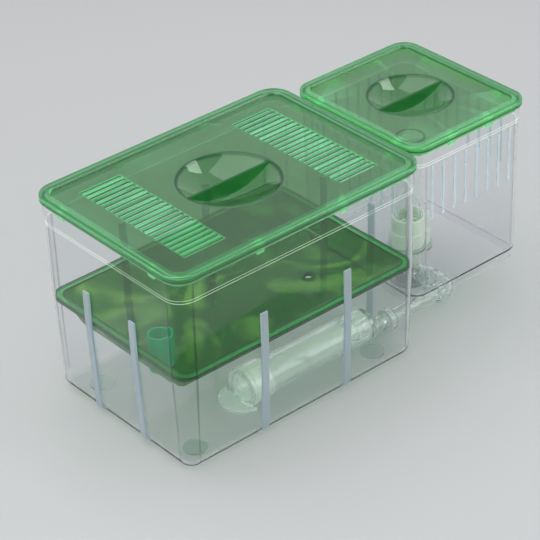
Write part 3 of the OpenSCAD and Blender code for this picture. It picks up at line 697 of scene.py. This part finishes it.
# margin: the slotted field runs this far past the slots. shade: painted shade on the slot walls, from the
# slot's top to its foot. glow and wallGlow: painted glow on the bars and on the slot walls.
vents = {"count": 22, "pitch": 7.1, "width": 3.5, "length": 46.0, "x": 92.0, "bevel": 0.35, "round": 0.6,
         "margin": 1.2, "glow": 1.0, "wallGlow": 0.8, "shade": (0.0, 0.3, 0.95, 1.0)}


# Border and skirt: one profile carried round the lid, with small tabs along the skirt's lower edge. Marks:
# painted shade lines at the hem, the flank, the shoulder and the border's inner edge, and painted glow on the
# crown and the skirt, fullest at the tabs. Returns the loop, the skin's points, its part and the place of the
# skirt's outer face.
def lidShell(tank, panelTop, panelLow):
    s = lidShape
    r, low, top = tank["corner"] + s["out"], s["low"], s["low"] + s["edge"]
    halfX, halfY = tank["length"] / 2 - tank["corner"], tank["width"] / 2 - tank["corner"]
    tabSide, soft = s["tabWidth"] / 2, s["tabSoft"]
    tabs = [[k * place for k in (-1, 1)] for place in (s["tabX"] * tank["length"], s["tabY"] * tank["width"])]
    ends = (-tabSide - soft, -tabSide, tabSide, tabSide + soft)
    loop = roundLoop(halfX, halfY, *[[c + e for c in pair for e in ends] for pair in tabs], 16)
    skirtOut, skirtLow = r - s["out"] - s["skirtIn"], low - s["skirt"]
    skirtBack, border = skirtOut - s["skirtWall"], r - s["border"]
    profile = softened([
        [border - s["borderFoot"], panelTop], [border, panelTop], [border + s["borderRise"], top],
        *[[r - back, top] for back in s["crownRows"]], [r, top], [r, low + 1.4], [r, low + 1.0], [r, low],
        [skirtOut + 0.6, low], [skirtOut, low], [skirtOut, skirtLow], [skirtBack, skirtLow],
        [skirtBack, panelLow], [skirtBack - 1.6, panelLow]],
        [0.5, 0.7, *[0] * len(s["crownRows"]), s["round"], 0, 0, 0.5, 0.2, 0.4, 0.4, 0.4, 0.6], 5)
    d, z = profile.T
    skin = carried(loop, profile)
    side, along = loop[2:]
    tab = np.zeros(len(along))
    for k in range(4):
        for c in tabs[k % 2]:
            gap = np.abs(along - c) - tabSide
            here = (side == k) & (gap < soft + 0.01)
            tab[here] = np.clip(1 - gap[here] / soft, 0, 1)
    skin[..., 2] -= (z < skirtLow + 0.6)[:, None] * tab[None] * s["tabHeight"]
    # Painted shade lines, then painted glow.
    hem = (z < low + 1.1) & (z > low + 0.1) & (d > r - 0.3)
    shoulder = (np.abs(d - (r - 3.8)) < 0.35) & (z > top - 0.1)
    inEdge = (np.abs(d - border) < 0.5) & (z < top - 0.3) & (z > panelTop - 0.1)
    flank = (d > r - 0.5) & (z > low + 1.0) & (z < top - 1.9)
    crown = (d > border + 0.4) & (z > top - 1.9)
    skirt = (z < low - 0.3) | ((d < skirtOut - 0.5) & (z < panelLow + 0.01))
    dark = (hem * s["hemDark"] + flank * s["flankDark"] + shoulder * s["shoulderDark"]
            + inEdge * s["inEdgeDark"])
    bright = (crown[:, None] * s["crownGlow"]
              + skirt[:, None] * (s["skirtGlow"] + (1 - s["skirtGlow"]) * tab[None]))
    rows, cols = skin.shape[:2]
    part = (skin.reshape(-1, 3), gridFaces(rows, cols, False, True),
            {"dark": np.repeat(dark, cols), "bright": bright.ravel()})
    return loop, skin, part, skirtOut


# Dish: two ball caps, z = ball centre - sqrt(R^2 - r^2), with a soft edge at the panel. Returns its parts,
# the radii where they meet the panel's two sheets, and the upper ball's radius and centre.
def lidDish(dishR, dishDeep, panelTop, panelLow):
    s = lidShape
    steps, f = s["dishSteps"], s["fillet"]
    ballR = (dishR ** 2 + dishDeep ** 2) / (2 * dishDeep)
    ballZ = panelTop - dishDeep + ballR
    inner = np.linspace(dishR - f, 0.02, 26)
    capTop = np.column_stack([inner, ballZ - np.sqrt(ballR ** 2 - inner ** 2)])
    lip = softened([[dishR + 2 * f, panelTop], [dishR, panelTop - 0.15], capTop[0]], 0.8, 5)
    outR = ballR + s["dishWall"]
    meetR = np.sqrt(outR ** 2 - (ballZ - panelLow) ** 2)
    under = np.linspace(meetR - 0.6, 0.02, 24)
    capLow = np.column_stack([under, ballZ - np.sqrt(outR ** 2 - under ** 2)])
    above = np.vstack([lip[:-1], capTop])
    below = np.vstack([[[meetR + 1.2, panelLow], [meetR + 0.2, panelLow - 0.05]], capLow])
    parts = []
    for prof, lineShare in ((above, 1.0), (below, 0.6)):
        ring = turned(prof, (0, 0, 0), "z", steps)[0]
        faces = gridFaces(len(prof), steps, False, True)
        faces.append(list(range((len(prof) - 1) * steps, len(prof) * steps)))
        # A painted shade line round the dish's edge, fainter on the lower cap.
        onEdge = np.abs(prof[:, 0] - dishR - 0.2) < 1.1
        parts.append((ring, faces, {"dark": np.repeat(onEdge * lineShare, steps)}))
    return parts, above[0, 0], below[0, 0], ballR, ballZ


# Vents: two slotted fields in each of the panel's two sheets and the slots' walls, with bevelled rims. Cuts
# each field out of the sheets by adding it to their holes. The bars get a painted glow, and the slot walls
# painted shade that deepens towards the foot, over a painted glow.
def lidVents(panelTop, panelLow, topHoles, lowHoles):
    v = vents
    e, corner = v["bevel"], np.linspace(0, np.pi / 2, 4)
    hx, hy, cr = v["length"] / 2, v["width"] / 2, v["round"]
    turns = ((1, -1, -np.pi / 2), (1, 1, 0), (-1, 1, np.pi / 2), (-1, -1, np.pi))
    base = np.vstack([np.column_stack([sx * (hx - cr) + cr * np.cos(start + corner),
                                       sy * (hy - cr) + cr * np.sin(start + corner)])
                      for sx, sy, start in turns])
    out = base / np.array([hx, hy]) * np.array([hx + e, hy + e])
    middle = (v["count"] - 1) / 2
    fieldX, fieldY = hx + v["margin"], middle * v["pitch"] + hy + v["margin"]
    field = np.array([[-fieldX, -fieldY], [fieldX, -fieldY], [fieldX, fieldY], [-fieldX, fieldY]])
    parts = []
    for sgn in (-1, 1):
        centre = np.array([sgn * v["x"], 0])
        slots = [out + centre + (0, (i - middle) * v["pitch"]) for i in range(v["count"])]
        for height, holes in ((panelTop, topHoles), (panelLow, lowHoles)):
            holes.append(field + centre)
            bars, barFaces = plate(field + centre, slots, height)
            onField = (np.abs(np.abs(bars[:, :2] - centre) - (fieldX, fieldY)) < 1e-4).any(1)
            parts.append((bars, barFaces, {"bright": np.where(onField, 0.0, v["glow"])}))
        for slot in slots:
            at = slot.mean(0)
            rings = [level(p + at, z) for p, z in (
                (out, panelTop), (base, panelTop - e), (base, panelLow + e), (out, panelLow))]
            shade = np.repeat(v["shade"], len(base))
            parts.append((np.vstack(rings), gridFaces(4, len(base), False, True),
                          {"dark": shade, "bright": np.full(len(shade), v["wallGlow"])}))
    return parts


# Web: a plate across the dish whose lower edge follows the ball and whose upper corners are cut.
def lidWeb(dishR, ballR, ballZ, panelTop):
    s = lidShape
    w, cut, webTop = s["web"] / 2, s["webCut"], panelTop - 0.05
    x = np.linspace(-dishR + 0.4, dishR - 0.4, s["webSteps"])
    ballAt = ballZ - np.sqrt(ballR ** 2 - x ** 2) - 0.6
    section = [(-w, 0.0, 0.0), (-w, 1.0, cut), (-w + cut, 1.0, 0.0), (w - cut, 1.0, 0.0), (w, 1.0, cut),
               (w, 0.0, 0.0)]
    rings = [np.column_stack([x, np.full(len(x), y), ballAt + share * (webTop - lip - ballAt)])
             for y, share, lip in section]
    n = len(section)
    return np.vstack(rings), gridFaces(n, len(x), True, False) + endFaces(n, len(x))


# Shell, dish and vents, and a panel of two flat sheets with holes. The small lid has no vents and a pale
# green strip inside its skirt, a painted glow that stands for light carried in the skirt.
def makeLid(name, tank, lid, centreX, body, nodes):
    s, dishR = lidShape, lid["dishR"]
    panelTop = s["low"] + s["edge"] - s["drop"]
    panelLow = panelTop - s["panel"]
    loop, skin, shell, skirtOut = lidShell(tank, panelTop, panelLow)
    dish, topR, lowR, ballR, ballZ = lidDish(dishR, lid["dishDeep"], panelTop, panelLow)
    topHoles, lowHoles = ([disc((0, 0, radius), s["dishSteps"])] for radius in (topR, lowR))
    parts = [shell, *dish]
    if lid["vented"]:
        parts += lidVents(panelTop, panelLow, topHoles, lowHoles)
    else:
        d, z, foot = skirtOut - s["skirtWall"] - 0.05, panelLow - 0.7, s["low"] - s["skirt"] + 0.6
        glowStrip = closedSoft(box(d - s["glowStripWide"], d, foot, z), 0.2, 2)
        # Painted glow: a pale strip inside the skirt.
        makePiece(name + "Liner", [hoop(loop, glowStrip, centreX)], "skirtLit", body, nodes)
    parts.append(plate(skin[0, :, :2], topHoles, panelTop))
    parts.append(plate(skin[-1, :, :2], lowHoles, panelLow))
    placed = [(np.asarray(v) + (centreX, 0, 0), *rest) for v, *rest in parts]
    makePiece(name, placed, "lidGreen", body, nodes)
    web, webFaces = lidWeb(dishR, ballR, ballZ, panelTop)
    makePiece(name + "Web", [(web + (centreX, 0, 0), webFaces)], "webGreen", body, nodes)


# tray

# lines: places along the basin and depths, as shares, that the floor's slope passes through. edgeLine
# and lineGap: width of the painted shade lines on the rim's edges and the gap before its painted glow.
# sideGlow: painted glow on the lip's side. The strip entries: the dark strips of painted shade on the rim.
trayShape = {
    "top": 106.7, "length": 287.0, "width": 202.4, "corner": 15.4, "rim": 8.0, "rimDrop": 3.0, "deep": 27.8,
    "wall": 2.2, "basinCorner": 9.0, "floorCorner": 7.0, "lines": ((-0.93, 1.0), (0.72, 0.62), (0.9, 0.46)),
    "lineWidth": 0.78, "edgeLine": 0.6, "lineGap": 0.1, "stripWide": 0.9, "stripThick": 0.22,
    "stripLift": 0.02, "round": 0.35, "floorRound": 5.0, "sideRow": 3.0, "sideGlow": 0.4, "inward": 0.06,
    "marksX": 24, "marksY": 14, "cornerSteps": 12, "post": (-114.1, -30.38), "postR": 11.0, "postWall": 2.2,
    "postLow": 72.7, "postTop": 111.7, "hole": (69.65, -26.56), "holeR": 4.0, "ringWidth": 2.6,
    "ringHigh": 1.8,
}


# A round-cornered outline with evenly spaced points, the same number for every half size and corner.
def trayLoop(halfX, halfY, corner):
    s = trayShape
    x, y = halfX - corner, halfY - corner
    loop = roundLoop(x, y, np.linspace(-x, x, s["marksX"])[1:-1], np.linspace(-y, y, s["marksY"])[1:-1],
                     s["cornerSteps"])
    return loop, loop[0] + loop[1] * corner


# The skin in rows of (points, dark mark, bright mark), along five paths round the tray: the lip's foot, the
# lip's top, the rim's inner edge, the floor's edge and the floor. Rows close together hold each mark to its
# own strip. Dark marks paint shade lines at the rim's edges. Bright ones paint glow on the lip's side and
# on the rim's top.
def trayRows(paths):
    s = trayShape
    near, past = s["edgeLine"], s["edgeLine"] + s["lineGap"]
    lip, lipTop, innerTop, edge, rest = paths

    # The point far mm along the way from first to second, or that far back from second if negative.
    def onWay(first, second, far):
        way = second - first
        ahead = way / np.linalg.norm(way, axis=1, keepdims=True)
        return first + ahead * far if far >= 0 else second + ahead * far

    # The rows of the turn at path k.
    def corner(k, reach, steps):
        start, end = onWay(paths[k - 1], paths[k], -reach), onWay(paths[k], paths[k + 1], reach)
        return [bend(start, paths[k], end, t) for t in np.linspace(0, 1, steps)]

    upLip = ((near * 0.7, 1, 0), (past * 0.7, 0, s["sideGlow"]), (-past, 0, s["sideGlow"]), (-near, 1, 0))
    overRim = ((near, 1, 0), (past, 0, 1), (-past, 0, 1), (-near, 1, 0))
    downWall = ((near, 1, 0), (past, 0, 0), (s["sideRow"], 0, 0))
    return [(lip, 1, 0), *[(onWay(lip, lipTop, far), *marks) for far, *marks in upLip],
            *[(row, 1, 0) for row in corner(1, s["round"], 4)],
            *[(onWay(lipTop, innerTop, far), *marks) for far, *marks in overRim],
            *[(row, 1, 0) for row in corner(2, s["round"], 4)],
            *[(onWay(innerTop, edge, far), *marks) for far, *marks in downWall],
            *[(row, 0, 0) for row in corner(3, s["floorRound"], 7)], (rest, 0, 0)]


# Rim and basin wall: one skin. Floor: a sheet whose height follows the slope's lines. Both get their
# thickness from makePiece. Dark strips: painted shade, thin dark pieces laid on the rim's edges, where thick
# green plastic looks dark.
def makeTray():
    s = trayShape
    top = s["top"]
    basinX, basinY = s["length"] / 2 - s["rim"], s["width"] / 2 - s["rim"]
    loop, outer = trayLoop(s["length"] / 2, s["width"] / 2, s["corner"])
    innerLoop, inner = trayLoop(basinX, basinY, s["basinCorner"])
    places, depths = np.array(s["lines"]).T
    lineX, lineZ = places * basinX, top - depths * s["deep"]
    floorMid = np.array([(lineX[0] + lineX[-1]) / 2, 0])
    foot = trayLoop((lineX[-1] - lineX[0]) / 2, s["lineWidth"] * basinY, s["floorCorner"])[1] + floorMid

    def floorZ(p):
        return np.interp(p[:, 0], lineX, lineZ)

    inward = foot + (floorMid - foot) * s["inward"]
    n = len(outer)
    rows = trayRows([level(outer, top - s["rimDrop"]), level(outer, top), level(inner, top),
                     level(foot, floorZ(foot)), level(inward, floorZ(inward))])
    shift = np.array([bigX, 0, 0])
    parts = [(np.vstack([row for row, _, _ in rows]) + shift, gridFaces(len(rows), n, False, True),
              {"dark": np.repeat([dark for _, dark, _ in rows], n),
               "bright": np.repeat([bright for _, _, bright in rows], n)})]
    holes = [disc((*s["post"], s["postR"] + 0.1)), disc((*s["hole"], s["holeR"]), 32)]
    sheet, sheetFaces = plate(inward, holes, floorZ)
    parts.append((sheet + shift, sheetFaces))
    makePiece("tray", parts, "trayGreen", "tray", ["tray"], 28.0, s["wall"])
    # Painted shade strips along the rim's outer and inner top edges and its lower edge.
    w, t, lift = s["stripWide"], s["stripThick"], s["stripLift"]
    shadeStrips = []
    for path, dist, z, wide, high in (
            (loop, s["corner"] - w, top + lift, w, t), (innerLoop, s["basinCorner"], top + lift, w, t),
            (loop, s["corner"] + lift, top - s["rimDrop"], t, w)):
        shadeStrips.append(hoop(path, closedSoft(box(dist, dist + wide, z, z + high), 0.06, 2), bigX))
    makePiece("trayShadeLines", shadeStrips, "shadeLineDark", "tray", ["tray"])
    atHole = np.interp(s["hole"][0], lineX, lineZ)
    low, high, ringOut = atHole - 1.0, atHole + s["ringHigh"], s["holeR"] + s["ringWidth"]
    ring = closedSoft([[s["holeR"], low], [s["holeR"], high], [ringOut, high], [ringOut + 0.6, low]], 0.6)
    makePiece("trayRing", [turned(ring, (bigX + s["hole"][0], s["hole"][1], 0), "z", 40)],
              "trayGreen", "tray", ["tray"])


# tubes, pipes and fittings

# The drain line, in mm. Places along it count from the large tank's middle.
line = {
    "y": -53.0, "tubeZ": 24.5, "pipeZ": 14.3, "tubeR": 17.7, "tubeBore": 12.7, "pipeR": 8.0, "pipeBore": 6.0,
    "hubR": 10.0, "hold": 8.1, "reach": 8.0, "socket": 10.0, "tubeStart": -34.4, "plug": 98.3,
    "plugWall": 2.4, "taper": 112.3, "taperEnd": 130.3, "bossFace": 146.5, "nutR": 12.0, "gasket": 1.2,
    "nut": 6.5, "gap": 0.1,
}

# Riser, floor nut, socket and standpipe. Heights are in mm above the table.
stand = {
    "r": 15.3, "bore": 12.8, "low": 67.6, "top": 167.0, "riserR": 13.5, "riserBore": 10.3, "riserTop": 65.05,
    "flangeR": 22.0, "flange": 2.3, "footR": 20.0, "foot": 2.5, "floorLow": 44.5, "floorTop": 47.0,
    "nutR": 19.9, "nutTop": 62.8, "cupR": 18.5, "cupBore": 15.6, "cupTop": 78.8, "shoulder": 67.3,
    "ringZ": 73.05, "ringR": 0.9, "ringGap": 0.05,
}


def makeFitting(node, parts, look="fittingClear"):
    makePiece(node, parts, look, "base", [node])


# Every turned piece: closed profiles of (radius, place) with rounded corners, on their axis.
def makeRings():
    n, v, t = line, stand, trayShape
    gap = n["gap"]
    onTube, onPipe = ((bigX, n["y"], n[key]) for key in ("tubeZ", "pipeZ"))
    onStand, onCross = ((smallX, 0, z) for z in (0, n["pipeZ"]))
    onPost = (bigX + t["post"][0], t["post"][1], 0)
    pipeStart = n["taperEnd"] - n["socket"] + gap
    pipeEnd = smallX - bigX - n["reach"] - gap
    gasketEnd = n["bossFace"] + n["gasket"]
    underFloor = v["floorLow"] - n["gasket"]
    grooveLow, grooveTop = (v["ringZ"] + way * (v["ringR"] + v["ringGap"]) for way in (-1, 1))
    grooveR = v["cupBore"] + 2 * v["ringR"] + v["ringGap"]
    cup = [[v["riserR"] + gap, v["nutTop"]], [v["cupR"], v["nutTop"]], [v["cupR"], v["cupTop"]],
           [v["cupBore"], v["cupTop"]], [v["cupBore"], grooveTop], [grooveR, grooveTop], [grooveR, grooveLow],
           [v["cupBore"], grooveLow], [v["cupBore"], v["shoulder"]], [v["riserBore"], v["shoulder"]],
           [v["riserBore"], v["riserTop"] + gap], [v["riserR"] + gap, v["riserTop"] + gap]]
    a = around(20)
    seal = np.column_stack([v["cupBore"] + v["ringR"] * (1 + np.cos(a)), v["ringZ"] + v["ringR"] * np.sin(a)])
    rings = [
        # node, look, body, slot, axis, centre, outline, rounding
        ("drain_tube", "tubeClear", "base", "clear_tube", "x", onTube,
         box(n["tubeBore"], n["tubeR"], n["tubeStart"], n["taper"] - gap), 0.5),
        ("wall_gasket", "sealSilicone", "base", "seal", "x", onPipe,
         box(n["hold"], n["nutR"] - gap, n["bossFace"], gasketEnd), 0.25),
        ("wall_nut", "fittingClear", "base", "clear_fitting", "x", onPipe,
         box(n["hold"], n["nutR"], gasketEnd, gasketEnd + n["nut"]), 0.7),
        ("link_pipe", "pipeClear", "base", "clear_tube", "x", onPipe,
         box(n["pipeBore"], n["pipeR"], pipeStart, pipeEnd), 0.4),
        ("cross_pipe", "pipeClear", "base", "clear_tube", "y", onCross,
         box(n["pipeBore"], n["pipeR"], n["y"] + n["reach"] + gap, -v["riserR"] - n["reach"] - gap), 0.4),
        ("floor_gasket", "sealSilicone", "base", "seal", "z", onStand,
         box(v["riserR"] + gap, v["flangeR"] - gap, underFloor, v["floorLow"]), 0.25),
        ("floor_nut", "fittingMilky", "base", "milky_fitting", "z", onStand,
         box(v["riserR"] + gap, v["nutR"], v["floorTop"], v["nutTop"]), 1.2),
        ("standpipe_socket", "fittingMilky", "base", "milky_fitting", "z", onStand, cup, 0.35),
        ("standpipe", "pipeClear", "standpipe", "clear_tube", "z", onStand,
         box(v["bore"], v["r"], v["low"], v["top"]), 0.7),
        ("tray_post", "postGreen", "tray", "green_post", "z", onPost,
         box(t["postR"] - t["postWall"], t["postR"], t["postLow"], t["postTop"]), 0.8),
    ]
    for node, look, body, slotName, axis, centre, outline, soft in rings:
        makePiece(node, [turned(closedSoft(outline, soft), centre, axis, 88)], look, body, [node])
    makePiece("standpipe_o_ring", [turned(seal, onStand, "z", 72)], "sealSilicone", "base",
              ["standpipe_o_ring"])


# gap: the discs are this much thinner at each face than their place.
pads = {"r": 12.0, "thick": 1.5, "gap": 0.04, "middle": 0.02, "x": 112.3, "y": 70.0}


# Foot pads: flat discs, each a rounded box section turned round its own upright axis.
def makePads():
    p = pads
    outline = box(p["middle"], p["r"], p["gap"], p["thick"] - p["gap"])
    for sx, nx in ((-1, "left"), (1, "right")):
        for sy, ny in ((-1, "front"), (1, "back")):
            node = f"foot_pad_{ny}_{nx}"
            part = turned(closedSoft(outline, 0.4), (bigX + sx * p["x"], sy * p["y"], 0), "z", 48)
            makePiece(node, [part], "padClear", "base", [node])


intake = {"mouth": -40.5, "long": 26.0, "collarR": 20.2, "seat": 6.0, "lipR": 23.7, "lipWall": 2.0,
          "lipHigh": 4.5, "lipShift": 7.0, "lipReach": 4.0, "lipZ": 4.3, "lipInner": 3.0, "lipSteps": 61}


# Collar: a turned sleeve with a bell mouth. Lip: an L-shaped section carried along an arc of the circle.
def makeIntake():
    s = intake
    a, b = s["mouth"], s["mouth"] + s["long"]
    bore, hold = line["tubeBore"], line["tubeR"] + line["gap"]
    outline = [[bore, a], [s["collarR"], a], [s["collarR"], b], [hold, b], [hold, a + s["seat"]],
               [bore, a + s["seat"]]]
    profile = closedSoft(outline, [1.6, 1.2, 1.2, 0.4, 0.4, 0.3])
    collar = turned(profile, (bigX, line["y"], line["tubeZ"]), "x", 96)
    lipR, t, h, z, near = s["lipR"], s["lipWall"], s["lipHigh"], s["lipZ"], s["lipInner"]
    section = closedSoft([[near, z], [lipR, z], [lipR, z + h], [lipR - t, z + h], [lipR - t, z + t],
                          [near, z + t]], 0.6)
    reach = np.arccos((s["lipReach"] - s["lipShift"]) / lipR)
    arc = np.linspace(reach, tau - reach, s["lipSteps"])
    x = section[:, :1] * np.cos(arc) + bigX + s["mouth"] + s["lipShift"]
    y = section[:, :1] * np.sin(arc) + line["y"] + s["lipShift"]
    lip = np.stack([x, y, np.repeat(section[:, 1:], len(arc), 1)], -1)
    rows, cols = lip.shape[:2]
    lipFaces = gridFaces(rows, cols, True, False) + endFaces(rows, cols)
    makeFitting("intake_fitting", [collar, (lip.reshape(-1, 3), lipFaces)], "collarClear")


# Rings whose centre height and radius run from the tube's to the pipe's on a smooth step.
def makeReducer():
    n, steps = line, 64
    tz, pz, start, end, pipe, hub, wide = (
        n[key] for key in ("tubeZ", "pipeZ", "taper", "taperEnd", "pipeBore", "hubR", "tubeR"))
    deep = end - n["socket"]
    plugR = n["tubeBore"] - n["gap"]
    plugBore = plugR - n["plugWall"]
    t = np.linspace(0, 1, 12)[:, None]
    ease = smooth(t)
    over = np.hstack([start + 3 + t * (end - start - 6), wide - ease * (wide - hub), tz + ease * (pz - tz)])
    under = np.hstack([deep - 0.2 - t * (deep - 0.2 - start), pipe + ease * (plugBore - pipe),
                       pz + ease * (tz - pz)])
    rows = np.vstack([[n["plug"], plugR, tz], [start, plugR, tz], [start, wide, tz], [start + 3, wide, tz],
                      over, [end, hub, pz], [end, n["hold"], pz], [deep, n["hold"], pz], [deep, pipe, pz],
                      under, [n["plug"], plugBore, tz]])
    xs, rs, zs = rows.T[..., None]
    a = around(steps)
    ring = np.stack([np.repeat(xs + bigX, steps, 1), n["y"] + rs * np.cos(a), zs + rs * np.sin(a)], -1)
    makeFitting("tube_reducer", [(ring.reshape(-1, 3), gridFaces(len(rows), steps, True, True))])


# A tube skin along a quarter turn, outside and inside, with a socket collar at each end.
def makeCornerElbow():
    n, steps = line, 48
    hubL, reach, hub = n["reach"] + n["socket"], n["reach"], n["hubR"]
    turnR = reach - 0.5
    a = np.linspace(0, np.pi / 2, 14)
    arc = np.column_stack([-turnR + turnR * np.sin(a), turnR - turnR * np.cos(a), np.zeros(len(a))])
    start = np.array([[-hubL, 0, 0], [1.5 - hubL, 0, 0], [-reach - 0.2, 0, 0]])
    end = start[::-1, [1, 0, 2]] * (1, -1, 1)
    path = np.vstack([start, arc, end]) + (smallX, n["y"], n["pipeZ"])
    outR = np.concatenate([[hub - 0.4, hub, hub], np.full(len(arc), hub - 0.4), [hub, hub, hub - 0.4]])
    inR = np.concatenate([[n["hold"]] * 3, np.full(len(arc), n["pipeBore"]), [n["hold"]] * 3])
    both = np.concatenate([swept(path, outR, steps), swept(path, inR, steps)[::-1]])
    makeFitting("corner_elbow", [(both.reshape(-1, 3), gridFaces(len(both), steps, True, True))])


# A turned body with a foot and a flange, and a short socket that joins it from the front.
def makeRiserElbow():
    n, v = line, stand
    pz, hub, hold, bore = n["pipeZ"], n["hubR"], n["hold"], n["pipeBore"]
    r, inside, f, middle = v["riserR"], v["riserBore"], v["footR"], 0.02
    flangeTop = v["floorLow"] - n["gasket"]
    flangeLow = flangeTop - v["flange"]
    profile = closedSoft(
        [[middle, 0], [f, 0], [f, v["foot"]], [r, v["foot"]], [r, flangeLow], [v["flangeR"], flangeLow],
         [v["flangeR"], flangeTop], [r, flangeTop], [r, v["riserTop"]], [inside, v["riserTop"]], [inside, pz],
         [inside - 1.3, pz - 5.8], [inside - 4.8, pz - 9.4], [middle, pz - 10.3]],
        [0.3, 0.8, 0.8, 1.6, 1.0, 0.7, 0.7, 0.3, 0.7, 0.7, 1.0, 2.0, 2.0, 0.3], 4)
    body = turned(profile, (smallX, 0, 0), "z", 80)
    mouth = -r - n["reach"] - n["socket"]
    deep = mouth + n["socket"]
    socket = closedSoft([[bore, 0.3 - r], [hub, 0.3 - r], [hub, mouth], [hold, mouth], [hold, deep],
                         [bore, deep]], 0.5)
    side = turned(socket, (smallX, 0, pz), "y", 56)
    makeFitting("riser_elbow", [body, side])


# all together

makeCamera()
makeStage()
makeWorld()
makeLamps()
scene = bpy.context.scene
scene.view_settings.view_transform = "Standard"
for key, count in bounces.items():
    setattr(scene.cycles, key, count)
print("stage: camera, floor and lamps")

for lookName in clearLooks:
    looks[lookName] = clearPlastic(lookName)
for lookName in ("sealSilicone", "shadeLineDark"):
    looks[lookName] = grainyLook(lookName)
print("stage: materials")

makeTank("mainTank", bigTank, bigX, ["main_tank"])
makeTank("smallTank", smallTank, smallX, ["small_tank"], [(smallX, 0.0, stand["riserR"] + line["gap"])])
print("stage: tanks")

makeLid("mainLid", bigTank, bigLid, bigX, "main_lid", ["main_lid"])
makeLid("smallLid", smallTank, smallLid, smallX, "small_lid", ["small_lid"])
print("stage: lids")

makeTray()
print("stage: tray")

makeRings()
makePads()
makeIntake()
makeReducer()
makeCornerElbow()
makeRiserElbow()
print("stage: tubes and fittings")
